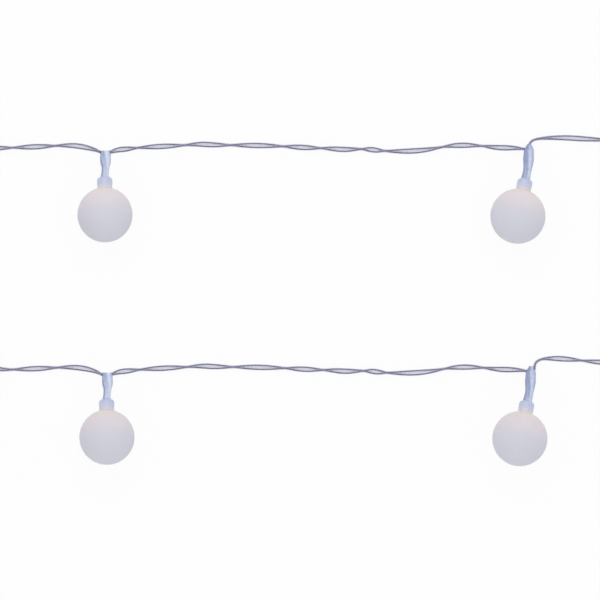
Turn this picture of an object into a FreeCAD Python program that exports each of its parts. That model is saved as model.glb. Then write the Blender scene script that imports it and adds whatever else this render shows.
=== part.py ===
import FreeCAD, Part
import Sketcher
import math
import os
import re

# Solar string lights, laid flat on a table: ten frosted globe lamps on a clear twin cable, a coiled
# lead, and a small solar unit on a ground stake. Millimetres, +Z up, the table is z = 0, and the
# origin is under the middle of the rigid pieces. +Y runs up the rows, from globe to cable.

Vector = FreeCAD.Vector
Rotation = FreeCAD.Rotation
Placement = FreeCAD.Placement

doc = FreeCAD.newDocument("solar_string_lights")
sheet = doc.addObject("Spreadsheet::Sheet", "sizes")

# Driving dimensions, one value each: alias, millimetres or degrees, what it is
SIZES = [
    ("globe_radius", 10, "outside of the frosted globe"),
    ("globe_wall", 0.9, "wall of the hollow globe"),
    ("neck_wall", 0.75, "wall of the tube moulded inside the globe"),
    ("neck_depth", 4.6, "length of that tube"),
    ("push_fit", 0.05, "radial clearance of pieces pushed together"),
    ("holder_radius", 2.8, "lamp holder, the white collar above the globe"),
    ("holder_inner", 5.2, "globe centre to the holder's inner end"),
    ("holder_top", 14.2, "globe centre to the holder's shoulder"),
    ("holder_round", 1.1, "rounding of that shoulder"),
    ("socket_depth", 3.7, "how far the sleeve goes into the holder"),
    ("led_radius", 1.5, "epoxy body of a 3 mm lamp"),
    ("led_flange_radius", 1.9, "its flange"),
    ("led_flange_height", 1, "thickness of the flange"),
    ("led_length", 5.2, "flange to the tip of the dome"),
    ("led_seat", 8, "globe centre to the seat of the flange"),
    ("leg_width", 0.45, "square section of a lamp leg"),
    ("leg_spacing", 1.27, "between the two legs"),
    ("leg_end", 16.5, "globe centre to the soldered end of the legs"),
    ("sleeve_radius", 1.7, "lower half of the shrink sleeve"),
    ("sleeve_top_radius", 2.1, "upper half, swollen by four wires"),
    ("sleeve_step", 18.8, "globe centre to where the sleeve swells"),
    ("sleeve_bore", 1.2, "radius inside the sleeve"),
    ("sleeve_plug", 2.5, "glue that fills the sleeve's top end"),
    ("wire_radius", 0.55, "one insulated wire"),
    ("wire_gap", 0.1, "between the two wires in a sleeve"),
    ("stem_length", 24.64, "globe centre to the top of a straight sleeve"),
    ("bent_stem_length", 27, "the same along a bent sleeve"),
    ("bend_place", 18.9, "globe centre to the knee of a bent sleeve"),
    ("bend_angle", 7.2, "how far the knee turns"),
    ("lamp_pitch", 149.8, "between the two lamps of a row"),
    ("first_lamp_x", 117.5, "lamp 1, globe centre"),
    ("first_lamp_y", 32.85, "lamp 1, globe centre"),
    ("row_fall", 0.5, "how much lower the right lamp lies"),
    ("row_gap", 80.7, "between the two rows"),
    ("row_shift", 0.7, "sideways step of the lower row"),
    ("comb_x", 55.1, "lamp 5, the first one of the folded length"),
    ("comb_pitch", 24, "between the folded lamps"),
    ("comb_rows_y", -47.85, "globe centres of the folded lamps"),
    ("cable_radius", 1.1, "twin cable, both wires together"),
    ("coil_mean_radius", 13.2, "middle of the coiled lead's turns"),
    ("coil_pitch", 2.65, "between turns, sideways and upwards"),
    ("coil_x", -126, "centre of the coil"),
    ("coil_y", 35.5, "centre of the coil"),
    ("tie_wall", 0.6, "thickness of a coil tie"),
    ("tie_width", 3.5, "width of a coil tie"),
    ("tie_gap", 0.2, "between a tie and the turns"),
    ("head_length", 66, "solar head along X"),
    ("head_width", 84, "solar head along Y"),
    ("head_height", 22, "solar head, back to rim"),
    ("head_left", -278, "left edge of the head"),
    ("head_wall", 2, "wall of both shells"),
    ("head_corner", 7, "corner radius of the head"),
    ("cover_height", 12.5, "height of the rear cover"),
    ("gasket_height", 0.8, "thickness of the gasket"),
    ("gasket_inset", 0.3, "gasket edge to the shells' edge"),
    ("panel_length", 58, "solar panel along X"),
    ("panel_width", 76, "solar panel along Y"),
    ("panel_fit", 0.2, "gap round the panel in its recess"),
    ("panel_ledge", 3, "width of the ledge under the panel"),
    ("ledge_height", 1.2, "thickness of that ledge"),
    ("cell_height", 1, "backing board with the cells"),
    ("glass_height", 1, "clear cover over the cells"),
    ("rim_lip", 0.2, "how far the rim stands over the clear cover"),
    ("post_inset", 6, "screw posts, centre to the head's edges"),
    ("post_radius", 3.2, "screw posts"),
    ("screw_radius", 1.4, "shank of a cover screw"),
    ("screw_head_radius", 2.7, "head of a cover screw"),
    ("screw_head_height", 1.9, "height of that head"),
    ("screw_reach", 15, "length of the shank"),
    ("screw_sink", 2.3, "depth of the counterbore"),
    ("battery_radius", 7.25, "AA cell"),
    ("battery_length", 50.5, "AA cell with its button"),
    ("battery_button", 1.2, "height of the cell's button end"),
    ("battery_button_radius", 2.6, "radius of that button"),
    ("battery_inset", 16, "cell axis to the head's left edge"),
    ("battery_lift", 0.3, "gap under the cell"),
    ("contact_height", 0.5, "thickness of the spring contacts"),
    ("contact_gap", 0.1, "play between cell and contact"),
    ("rib_wall", 1.5, "ribs that hold the contacts"),
    ("board_height", 1.6, "circuit board"),
    ("board_length", 32, "circuit board along X"),
    ("board_width", 49, "circuit board along Y"),
    ("board_lift", 2, "height of its pads over the cover's floor"),
    ("board_y", -6.5, "middle of the board"),
    ("button_radius", 3, "push buttons"),
    ("button_clearance", 0.15, "round a push button in its hole"),
    ("button_flange", 0.9, "how far the inner flange stands out"),
    ("button_flange_height", 1, "thickness of the inner flange"),
    ("button_proud", 1.8, "how far a button stands out"),
    ("button_travel", 1.2, "how far a button goes in"),
    ("button_height", 7, "buttons and lead exit over the back"),
    ("power_y", -17, "power button"),
    ("mode_y", -28, "mode button"),
    ("switch_size", 5, "tact switch, square side"),
    ("switch_gap", 0.3, "switch to a fully pressed button"),
    ("boot_y", 29, "lead exit along the head's edge"),
    ("boot_radius", 3.4, "thick end of the lead boot"),
    ("boot_tip_radius", 1.9, "thin end"),
    ("boot_length", 10, "outside length"),
    ("boot_neck", 2.4, "radius of its neck in the wall"),
    ("hinge_gap", 12, "hinge axis to the head's edge"),
    ("hinge_height", 11, "hinge axis over the table"),
    ("knuckle_radius", 8, "hinge knuckle and ears"),
    ("knuckle_width", 12, "hinge knuckle along Y"),
    ("hinge_side_gap", 0.3, "between knuckle and ears, washer and nut"),
    ("ear_width", 4, "each ear of the bracket"),
    ("foot_reach", 24, "hinge axis to the flat face of the foot"),
    ("foot_wall", 3, "thickness of the foot"),
    ("foot_width", 46, "foot along Y"),
    ("foot_height", 22, "foot along Z"),
    ("foot_hole_radius", 2.1, "wall screw holes"),
    ("foot_hole_spacing", 32, "between them"),
    ("hub_radius", 7, "socket for the stake's peg"),
    ("hub_gap", 1.5, "socket to the knuckle"),
    ("peg_radius", 5, "stake peg"),
    ("peg_length", 12.4, "stake peg"),
    ("peg_end_gap", 0.6, "peg's end to the bottom of its socket"),
    ("stake_seat", 0.3, "collar to the face of the foot"),
    ("collar_radius", 8, "stake collar"),
    ("collar_height", 4, "stake collar"),
    ("blade_length", 91, "stake below its collar"),
    ("blade_half", 11, "half the width of the stake's fins"),
    ("blade_wall", 2.4, "thickness of the fins"),
    ("blade_shoulder", 52, "length of the fins before the point"),
    ("blade_shoulder_half", 8.5, "half width where the point begins"),
    ("blade_tip_half", 0.7, "half width of the tip"),
    ("bolt_radius", 2.5, "pivot bolt"),
    ("bolt_head_radius", 4.5, "its round head"),
    ("bolt_head_height", 3.5, "its round head"),
    ("bolt_slot", 1.2, "slot in that head"),
    ("running_fit", 0.08, "radial clearance of the pivot"),
    ("washer_radius", 5.2, "pivot washer"),
    ("washer_height", 0.8, "pivot washer"),
    ("nut_radius", 7.5, "thumb nut"),
    ("nut_height", 6, "thumb nut"),
    ("nut_grip_radius", 1.6, "finger flutes round the nut"),
]
NUT_FLUTES = 10
ALIASES = {alias for alias, value, note in SIZES}

for row, (alias, value, note) in enumerate(SIZES, start=1):
    sheet.set(f"A{row}", alias)
    sheet.set(f"B{row}", str(value))
    sheet.set(f"C{row}", note)
    sheet.setAlias(f"B{row}", alias)
doc.recompute()


def rule(text):
    """An expression on the sheet's aliases, written without the sheet's name."""
    def word(found):
        name = found.group()
        return "sizes." + name if name in ALIASES else name
    return re.sub(r"[a-z_]+", word, text)


def size(text):
    """The number that such an expression gives now."""
    return float(sheet.evalExpression(text))


# Directions of a feature's own Z axis
ALONG = {
    "z": Rotation(),
    "x": Rotation(Vector(0, 1, 0), 90),
    "-x": Rotation(Vector(0, 1, 0), -90),
    "y": Rotation(Vector(1, 0, 0), -90),
}


def body(label):
    """An empty body; its label is the name of the sub-part or of the form that is copied."""
    made = doc.addObject("PartDesign::Body", label)
    made.Label = label
    return made


def plane(owner, role):
    return [found for found in owner.Origin.OriginFeatures if found.Role == role][0]


def shape(owner, kind, name, rules, at=("0", "0", "0"), along="z", turn=None):
    """One PartDesign primitive: its sizes and place are expressions, along is its axis."""
    made = owner.newObject("PartDesign::" + kind, name)
    made.AttachmentSupport = [(plane(owner, "XY_Plane"), "")]
    made.MapMode = "FlatFace"
    made.AttachmentOffset = Placement(Vector(), turn or ALONG[along])
    for axis, text in zip("xyz", at):
        made.setExpression("AttachmentOffset.Base." + axis, rule(text))
    for path, text in rules.items():
        made.setExpression(path, rule(text))
    return made


def cylinder(owner, kind, name, radius, height, at, along="z", turn=None):
    return shape(owner, kind + "Cylinder", name, {"Radius": radius, "Height": height}, at, along, turn)


def cone(owner, kind, name, start, end, height, at, along="z", turn=None):
    rules = {"Radius1": start, "Radius2": end, "Height": height}
    return shape(owner, kind + "Cone", name, rules, at, along, turn)


def ball(owner, kind, name, radius, at):
    return shape(owner, kind + "Sphere", name, {"Radius": radius}, at)


def block(owner, kind, name, lengths, middle):
    """A box from its three lengths and the middle of its underside."""
    rules = dict(zip(("Length", "Width", "Height"), lengths))
    corner = (f"{middle[0]} - ({lengths[0]}) / 2", f"{middle[1]} - ({lengths[1]}) / 2", middle[2])
    return shape(owner, kind + "Box", name, rules, corner)


def fillet(owner, name, radius, chosen):
    """Round the edges of the body so far for which chosen(edge) is true."""
    doc.recompute()
    base = owner.Tip
    edges = [f"Edge{n}" for n, edge in enumerate(base.Shape.Edges, start=1) if chosen(edge)]
    made = owner.newObject("PartDesign::Fillet", name)
    made.Base = (base, edges)
    made.setExpression("Radius", rule(radius))
    return made


def upright(edge, half_length, half_width, centre_x):
    """True for a vertical edge at the corners of a rectangle about centre_x."""
    box = edge.BoundBox
    level = box.XLength < 1e-6 and box.YLength < 1e-6
    beside = abs(abs(box.XMin - centre_x) - half_length) < 1e-4
    return level and beside and abs(abs(box.YMin) - half_width) < 1e-4


def outline(owner, name, role, points):
    """A closed sketch of straight lines on an origin plane, each corner set by two expressions."""
    sketch = owner.newObject("Sketcher::SketchObject", name)
    sketch.AttachmentSupport = [(plane(owner, role), "")]
    sketch.MapMode = "FlatFace"
    places = [Vector(size(across), size(up), 0) for across, up in points]
    last = len(points) - 1
    for n, place in enumerate(places):
        sketch.addGeometry(Part.LineSegment(place, places[0 if n == last else n + 1]))
    for n in range(len(points)):
        sketch.addConstraint(Sketcher.Constraint("Coincident", n, 2, 0 if n == last else n + 1, 1))
    for n, (across, up) in enumerate(points):
        for kind, text, now in (("DistanceX", across, places[n].x), ("DistanceY", up, places[n].y)):
            made = sketch.addConstraint(Sketcher.Constraint(kind, -1, 1, n, 1, now))
            sketch.setExpression(f"Constraints[{made}]", rule(text))
    return sketch


parts = []


def keep(made, label):
    """Mark an object as a sub-part that is written to its own file."""
    made.Label = label
    parts.append(made)
    return made


def copy_of(form, label, placement):
    """The same piece again at another place."""
    made = doc.addObject("Part::Compound", label)
    made.Label = label
    made.Links = [form]
    made.Placement = placement
    return made


def group_of(label, pieces):
    made = doc.addObject("Part::Compound", label)
    made.Links = pieces
    return keep(made, label)


# Lamp pieces, each in the lamp's own frame: globe centre at 0, +Z up the stem


def globe_form():
    """Hollow frosted ball with a tube moulded inside its neck."""
    made = body("globe_form")
    ball(made, "Additive", "outside", "globe_radius", ("0", "0", "0"))
    ball(made, "Subtractive", "hollow", "globe_radius - globe_wall", ("0", "0", "0"))
    tube = "holder_radius + push_fit + neck_wall"
    height = f"sqrt(globe_radius ^ 2 - ({tube}) ^ 2)"
    cylinder(made, "Additive", "neck_tube", tube, "neck_depth", ("0", "0", f"{height} - neck_depth"))
    bore = "holder_radius + push_fit"
    cylinder(made, "Subtractive", "neck_bore", bore, "globe_radius",
             ("0", "0", "globe_radius - neck_depth - globe_wall"))
    return made


def holder_form():
    """White collar: pushed into the globe, carries the lamp below and the sleeve above."""
    made = body("holder_form")
    cylinder(made, "Additive", "outside", "holder_radius", "holder_top - holder_inner",
             ("0", "0", "holder_inner"))

    def shoulder(edge):
        box = edge.BoundBox
        return abs(box.ZMin - size("holder_top")) < 1e-4 and box.ZLength < 1e-4
    fillet(made, "round_shoulder", "holder_round", shoulder)
    cylinder(made, "Subtractive", "lamp_seat", "led_flange_radius + push_fit",
             "led_seat - holder_inner", ("0", "0", "holder_inner"))
    cylinder(made, "Subtractive", "leg_bore", "sleeve_bore", "holder_top - led_seat",
             ("0", "0", "led_seat"))
    cylinder(made, "Subtractive", "sleeve_socket", "sleeve_radius + push_fit", "socket_depth",
             ("0", "0", "holder_top - socket_depth"))
    return made


def led_form():
    """Clear 3 mm lamp: flange, round body and dome."""
    made = body("led_form")
    cylinder(made, "Additive", "flange", "led_flange_radius", "led_flange_height",
             ("0", "0", "led_seat - led_flange_height"))
    cylinder(made, "Additive", "barrel", "led_radius", "led_length - led_radius",
             ("0", "0", "led_seat - led_length + led_radius"))
    ball(made, "Additive", "dome", "led_radius", ("0", "0", "led_seat - led_length + led_radius"))
    return made


def leg_form(side, across):
    """One square lamp leg, from the flange to its soldered end."""
    made = body(f"leg_form_{across}_{side}")
    sign = "-" if side == "low" else ""
    offset = f"{sign}leg_spacing / 2"
    middle = (offset, "0", "led_seat") if across == "x" else ("0", offset, "led_seat")
    block(made, "Additive", "leg", ("leg_width", "leg_width", "leg_end - led_seat"), middle)
    return made


def straight_sleeve_form():
    """Clear shrink sleeve, thin over the legs and swollen where four wires meet."""
    made = body("straight_sleeve_form")
    start = "holder_top - socket_depth"
    cylinder(made, "Additive", "lower", "sleeve_radius", f"sleeve_step - ({start})", ("0", "0", start))
    swell = "sleeve_top_radius - sleeve_radius"
    cone(made, "Additive", "swelling", "sleeve_radius", "sleeve_top_radius", swell,
         ("0", "0", "sleeve_step"))
    cylinder(made, "Additive", "upper", "sleeve_top_radius", f"stem_length - sleeve_step - ({swell})",
             ("0", "0", f"sleeve_step + {swell}"))
    cylinder(made, "Subtractive", "bore", "sleeve_bore", f"stem_length - sleeve_plug - ({start})",
             ("0", "0", start))
    return made


KNEE = Rotation(Vector(0, 1, 0), -size("bend_angle"))


def bent_sleeve_form():
    """The same sleeve with a knee above the holder, widening evenly to its top."""
    made = body("bent_sleeve_form")
    start = "holder_top - socket_depth"
    knee = ("0", "0", "bend_place")
    cylinder(made, "Additive", "lower", "sleeve_radius", f"bend_place - ({start})", ("0", "0", start))
    ball(made, "Additive", "knee", "sleeve_radius", knee)
    cone(made, "Additive", "upper", "sleeve_radius", "sleeve_top_radius",
         "bent_stem_length - bend_place", knee, turn=KNEE)
    cylinder(made, "Subtractive", "bore", "sleeve_bore", f"bend_place - ({start})", ("0", "0", start))
    ball(made, "Subtractive", "knee_bore", "sleeve_bore", knee)
    cylinder(made, "Subtractive", "upper_bore", "sleeve_bore",
             "bent_stem_length - bend_place - sleeve_plug", knee, turn=KNEE)
    return made


def straight_wire_form(side):
    """Insulated wire end inside a straight sleeve, from the solder to the glued top."""
    made = body(f"straight_wire_form_{side}")
    sign = "-" if side == "low" else ""
    offset = f"{sign}(wire_radius + wire_gap / 2)"
    cylinder(made, "Additive", "wire", "wire_radius", "stem_length - sleeve_plug - leg_end",
             (offset, "0", "leg_end"))
    return made


def bent_wire_form(side):
    """The same wire end following the knee of a bent sleeve."""
    made = body(f"bent_wire_form_{side}")
    sign = "-" if side == "low" else ""
    offset = f"{sign}(wire_radius + wire_gap / 2)"
    knee = ("0", offset, "bend_place")
    cylinder(made, "Additive", "lower", "wire_radius", "bend_place - leg_end", ("0", offset, "leg_end"))
    ball(made, "Additive", "knee", "wire_radius", knee)
    cylinder(made, "Additive", "upper", "wire_radius", "bent_stem_length - bend_place - sleeve_plug",
             knee, turn=KNEE)
    return made


def stem_slope(length):
    """Degrees that a lying lamp dips from its globe to the sleeve's end, both on the table."""
    radius = size("sleeve_top_radius")
    reach = math.hypot(length, radius)
    return math.degrees(math.asin(size("globe_radius") / reach) - math.atan2(radius, length))


def lamp_place(x, y, swing, length):
    """Frame of a lamp that lies on the table, its stem swung clockwise from +Y by swing."""
    dip = Rotation(Vector(1, 0, 0), -90 - stem_slope(length))
    heading = Rotation(Vector(0, 0, 1), -swing)
    return Placement(Vector(x, y, size("globe_radius")), heading.multiply(dip))


STRAIGHT_SWING = -0.9
BENT_SWING = 12
LAMP_COUNT = 10

first_x = size("first_lamp_x")
first_y = size("first_lamp_y")
pitch = size("lamp_pitch")
lamps = [
    (first_x, first_y, STRAIGHT_SWING, "straight"),
    (first_x + pitch, first_y - size("row_fall"), BENT_SWING, "bent"),
    (first_x + pitch + size("row_shift"), first_y - size("row_fall + row_gap"), BENT_SWING, "bent"),
    (first_x + size("row_shift"), first_y - size("row_gap"), STRAIGHT_SWING, "straight"),
]
for n in range(LAMP_COUNT - len(lamps)):
    lamps.append((size("comb_x") - n * size("comb_pitch"), size("comb_rows_y"), 0, "straight"))

forms = {
    "globe": globe_form(),
    "holder": holder_form(),
    "led": led_form(),
    "straight": {
        "sleeve": straight_sleeve_form(),
        "legs": [leg_form("low", "x"), leg_form("high", "x")],
        "wires": [straight_wire_form("low"), straight_wire_form("high")],
    },
    "bent": {
        "sleeve": bent_sleeve_form(),
        "legs": [leg_form("low", "y"), leg_form("high", "y")],
        "wires": [bent_wire_form("low"), bent_wire_form("high")],
    },
}

holders = []
leds = []
legs = []
sleeves = []
wires = []
for n, (x, y, swing, kind) in enumerate(lamps, start=1):
    length = size("stem_length") if kind == "straight" else size("bent_stem_length")
    place = lamp_place(x, y, swing, length)
    keep(copy_of(forms["globe"], f"globe_{n}", place), f"globe_{n}")
    holders.append(copy_of(forms["holder"], f"holder_{n}", place))
    leds.append(copy_of(forms["led"], f"led_{n}", place))
    sleeves.append(copy_of(forms[kind]["sleeve"], f"sleeve_{n}", place))
    legs += [copy_of(form, f"leg_{n}", place) for form in forms[kind]["legs"]]
    wires += [copy_of(form, f"wire_{n}", place) for form in forms[kind]["wires"]]

group_of("lamp_holders", holders)
group_of("leds", leds)
group_of("led_legs", legs)
group_of("shrink_sleeves", sleeves)
group_of("sleeve_wires", wires)

# The solar unit lies on its back cover, hinge side towards the lamps

HEAD_X = "(head_left + head_length / 2)"
HEAD_RIGHT = "(head_left + head_length)"
AXIS_X = "(head_left + head_length + hinge_gap)"
FACE_X = "(head_left + head_length + hinge_gap + foot_reach)"
INNER_LENGTH = "(head_length - 2 * head_wall)"
INNER_WIDTH = "(head_width - 2 * head_wall)"
BEZEL_Z = "(cover_height + gasket_height)"
CELL_Z = "(head_height - rim_lip - glass_height - cell_height)"
PLATE_Z = f"({CELL_Z} - ledge_height)"
EAR_START = "(knuckle_width / 2 + hinge_side_gap)"
EAR_END = "(knuckle_width / 2 + hinge_side_gap + ear_width)"
NUT_START = f"({EAR_END} + washer_height + hinge_side_gap)"
POSTS = [(along_x, along_y) for along_x in (-1, 1) for along_y in (-1, 1)]


def round_corners(owner, half_length, half_width, radius, name):
    centre = size(HEAD_X)
    fillet(owner, name, radius,
           lambda edge: upright(edge, size(half_length), size(half_width), centre))


def post_place(along_x, along_y):
    x = f"{HEAD_X} + {along_x} * (head_length / 2 - post_inset)"
    return x, f"{along_y} * (head_width / 2 - post_inset)"


def across_wall(owner, kind, name, radius, length, start, y, height="button_height"):
    """A cylinder along +X through the hinge-side wall of the head."""
    return cylinder(owner, kind, name, radius, length, (start, y, height), "x")


def rear_cover():
    """Moulded tray: screw posts, battery ribs, board pads, hinge knuckle and its bore."""
    made = body("rear_cover")
    block(made, "Additive", "outside", ("head_length", "head_width", "cover_height"),
          (HEAD_X, "0", "0"))
    block(made, "Subtractive", "inside", (INNER_LENGTH, INNER_WIDTH, "cover_height"),
          (HEAD_X, "0", "head_wall"))
    round_corners(made, f"{INNER_LENGTH} / 2", f"{INNER_WIDTH} / 2", "head_corner - head_wall",
                  "inner_corners")
    round_corners(made, "head_length / 2", "head_width / 2", "head_corner", "outer_corners")
    for n, sides in enumerate(POSTS):
        x, y = post_place(*sides)
        cylinder(made, "Additive", f"post_{n}", "post_radius", "cover_height - head_wall / 2",
                 (x, y, "head_wall / 2"))
        cylinder(made, "Subtractive", f"screw_hole_{n}", "screw_radius + push_fit", "cover_height",
                 (x, y, "0"))
        cylinder(made, "Subtractive", f"counterbore_{n}", "screw_head_radius + push_fit",
                 "screw_sink", (x, y, "0"))
    rib = "battery_length / 2 + 2 * contact_gap + contact_height + rib_wall / 2"
    for sign in ("", "-"):
        block(made, "Additive", f"rib{sign}", ("2 * battery_radius", "rib_wall", "cover_height - head_wall"),
              ("head_left + battery_inset", f"{sign}({rib})", "head_wall / 2"))
    for n, (along_x, along_y) in enumerate(POSTS):
        x = f"{BOARD_X} + {along_x} * (board_length / 2 - post_radius)"
        y = f"board_y + {along_y} * (board_width / 2 - post_radius)"
        cylinder(made, "Additive", f"board_pad_{n}", "post_radius - head_wall / 2",
                 "board_lift + head_wall / 2", (x, y, "head_wall / 2"))
    bridge = "hinge_gap + head_wall"
    block(made, "Additive", "bridge",
          (bridge, "knuckle_width", "cover_height - hinge_height + knuckle_radius"),
          (f"{AXIS_X} - ({bridge}) / 2", "0", "hinge_height - knuckle_radius"))
    cylinder(made, "Additive", "knuckle", "knuckle_radius", "knuckle_width",
             (AXIS_X, "-knuckle_width / 2", "hinge_height"), "y")
    cylinder(made, "Subtractive", "pivot_bore", "bolt_radius + running_fit", "2 * knuckle_width",
             (AXIS_X, "-knuckle_width", "hinge_height"), "y")
    for place in ("power_y", "mode_y"):
        across_wall(made, "Subtractive", f"hole_{place}", "button_radius + button_clearance",
                    "2 * head_wall", f"{HEAD_RIGHT} - 1.5 * head_wall", place)
    across_wall(made, "Subtractive", "lead_hole", "boot_neck + push_fit", "2 * head_wall",
                f"{HEAD_RIGHT} - 1.5 * head_wall", "boot_y")
    return made


SWITCH_FRONT = f"({HEAD_RIGHT} - head_wall - push_fit - button_flange_height - button_travel - switch_gap)"
BOARD_X = f"({SWITCH_FRONT} - board_length / 2)"
BOARD_TOP = "(head_wall + board_lift + board_height)"


def front_bezel():
    """Upper shell: a rim round the recessed panel, a ledge under it and four screw posts."""
    made = body("front_bezel")
    block(made, "Additive", "outside", ("head_length", "head_width", f"head_height - {BEZEL_Z}"),
          (HEAD_X, "0", BEZEL_Z))
    block(made, "Subtractive", "inside", (INNER_LENGTH, INNER_WIDTH, f"{PLATE_Z} - cover_height"),
          (HEAD_X, "0", "cover_height"))
    round_corners(made, f"{INNER_LENGTH} / 2", f"{INNER_WIDTH} / 2", "head_corner - head_wall",
                  "inner_corners")
    round_corners(made, "head_length / 2", "head_width / 2", "head_corner", "outer_corners")

    def rim(edge):
        box = edge.BoundBox
        return box.ZLength < 1e-6 and abs(box.ZMin - size("head_height")) < 1e-4
    fillet(made, "soft_rim", "head_wall / 2", rim)
    for n, sides in enumerate(POSTS):
        x, y = post_place(*sides)
        cylinder(made, "Additive", f"post_{n}", "post_radius", f"{PLATE_Z} - {BEZEL_Z}",
                 (x, y, BEZEL_Z))
        cylinder(made, "Subtractive", f"pilot_{n}", "screw_radius + push_fit",
                 f"screw_sink + screw_reach + push_fit - cover_height", (x, y, "cover_height"))
    block(made, "Subtractive", "window",
          ("panel_length - 2 * panel_ledge", "panel_width - 2 * panel_ledge", "head_wall"),
          (HEAD_X, "0", PLATE_Z))
    block(made, "Subtractive", "recess",
          ("panel_length + 2 * panel_fit", "panel_width + 2 * panel_fit", "head_wall + glass_height"),
          (HEAD_X, "0", CELL_Z))
    return made


def gasket():
    """Soft ring squeezed between the two shells."""
    made = body("gasket")
    outer = ("(head_length - 2 * gasket_inset)", "(head_width - 2 * gasket_inset)")
    inner = (f"({INNER_LENGTH} + 2 * gasket_inset)", f"({INNER_WIDTH} + 2 * gasket_inset)")
    block(made, "Additive", "outside", outer + ("gasket_height",), (HEAD_X, "0", "cover_height"))
    block(made, "Subtractive", "inside", inner + ("2 * gasket_height",),
          (HEAD_X, "0", "cover_height - gasket_height / 2"))
    round_corners(made, f"{inner[0]} / 2", f"{inner[1]} / 2", "head_corner - head_wall + gasket_inset",
                  "inner_corners")
    round_corners(made, f"{outer[0]} / 2", f"{outer[1]} / 2", "head_corner - gasket_inset", "outer_corners")
    return made


def flat_plate(label, lengths, middle):
    made = body(label)
    block(made, "Additive", "plate", lengths, middle)
    return made


def cover_screws():
    """Four cross-head screws, from the back cover up into the bezel's posts."""
    form = body("screw_form")
    head_start = "screw_sink - screw_head_height"
    cylinder(form, "Additive", "head", "screw_head_radius", "screw_head_height", ("0", "0", head_start))
    cylinder(form, "Additive", "shank", "screw_radius", "screw_reach", ("0", "0", "screw_sink"))
    slot = ("screw_head_radius * 1.2", "screw_radius / 2", "screw_head_height / 2")
    block(form, "Subtractive", "slot_x", slot, ("0", "0", head_start))
    block(form, "Subtractive", "slot_y", (slot[1], slot[0], slot[2]), ("0", "0", head_start))
    copies = []
    for n, sides in enumerate(POSTS):
        x, y = post_place(*sides)
        copies.append(copy_of(form, f"screw_{n}", Placement(Vector(size(x), size(y), 0), Rotation())))
    return group_of("cover_screws", copies)


def battery_cell():
    """AA rechargeable cell along Y with its raised button end."""
    made = body("battery_cell")
    centre = ("head_left + battery_inset", "head_wall + battery_lift + battery_radius")
    barrel = "battery_length - battery_button"
    cylinder(made, "Additive", "barrel", "battery_radius", barrel,
             (centre[0], "-battery_length / 2", centre[1]), "y")
    cylinder(made, "Additive", "button_end", "battery_button_radius", "battery_button",
             (centre[0], "battery_length / 2 - battery_button", centre[1]), "y")
    return made


def battery_contacts():
    """Sprung steel plates at both ends of the cell."""
    place = "battery_length / 2 + contact_gap + contact_height / 2"
    lengths = ("battery_radius * 1.6", "contact_height", "cover_height - head_wall")
    plates = [flat_plate(f"contact{sign}", lengths,
                         ("head_left + battery_inset", f"{sign}({place})", "head_wall"))
              for sign in ("", "-")]
    return group_of("battery_contacts", plates)


def board_parts():
    """Two tact switches, the charge controller, a choke and a capacitor on the board."""
    switch = ("switch_size", "switch_size", "switch_size * 0.8")
    pieces = []
    for place in ("power_y", "mode_y"):
        pieces.append(flat_plate(f"switch_{place}", switch,
                                 (f"{SWITCH_FRONT} - switch_size / 2", place, BOARD_TOP)))
    chip = ("switch_size", "switch_size * 1.2", "switch_size * 0.3")
    pieces.append(flat_plate("controller", chip, (BOARD_X, "board_y", BOARD_TOP)))
    choke = body("choke")
    cylinder(choke, "Additive", "core", "switch_size * 0.6", "switch_size * 0.7",
             (BOARD_X, "board_y + 2 * switch_size", BOARD_TOP))
    capacitor = body("capacitor")
    cylinder(capacitor, "Additive", "can", "switch_size / 2", "switch_size * 1.5",
             (f"{BOARD_X} - switch_size * 1.8", "board_y - 2 * switch_size", BOARD_TOP))
    return group_of("board_parts", pieces + [choke, capacitor])


def push_button(label, place):
    """Soft button: a shaft through the wall, held in by its inner flange."""
    made = body(label)
    across_wall(made, "Additive", "shaft", "button_radius", "head_wall + push_fit + button_proud",
                f"{HEAD_RIGHT} - head_wall - push_fit", place)

    def rim(edge):
        box = edge.BoundBox
        return box.XLength < 1e-6 and abs(box.XMin - size(f"{HEAD_RIGHT} + button_proud")) < 1e-4
    fillet(made, "soft_edge", "button_proud / 3", rim)
    across_wall(made, "Additive", "flange", "button_radius + button_flange", "button_flange_height",
                f"{HEAD_RIGHT} - head_wall - push_fit - button_flange_height", place)
    return made


def lead_boot():
    """Moulded strain relief, tapered, with a neck through the wall and a flange inside."""
    made = body("lead_boot")
    across_wall(made, "Additive", "neck", "boot_neck", "head_wall", f"{HEAD_RIGHT} - head_wall", "boot_y")
    across_wall(made, "Additive", "flange", "boot_radius", "button_flange_height",
                f"{HEAD_RIGHT} - head_wall - button_flange_height", "boot_y")
    cone(made, "Additive", "taper", "boot_radius", "boot_tip_radius", "boot_length",
         (HEAD_RIGHT, "boot_y", "button_height"), "x")
    return made


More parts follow.
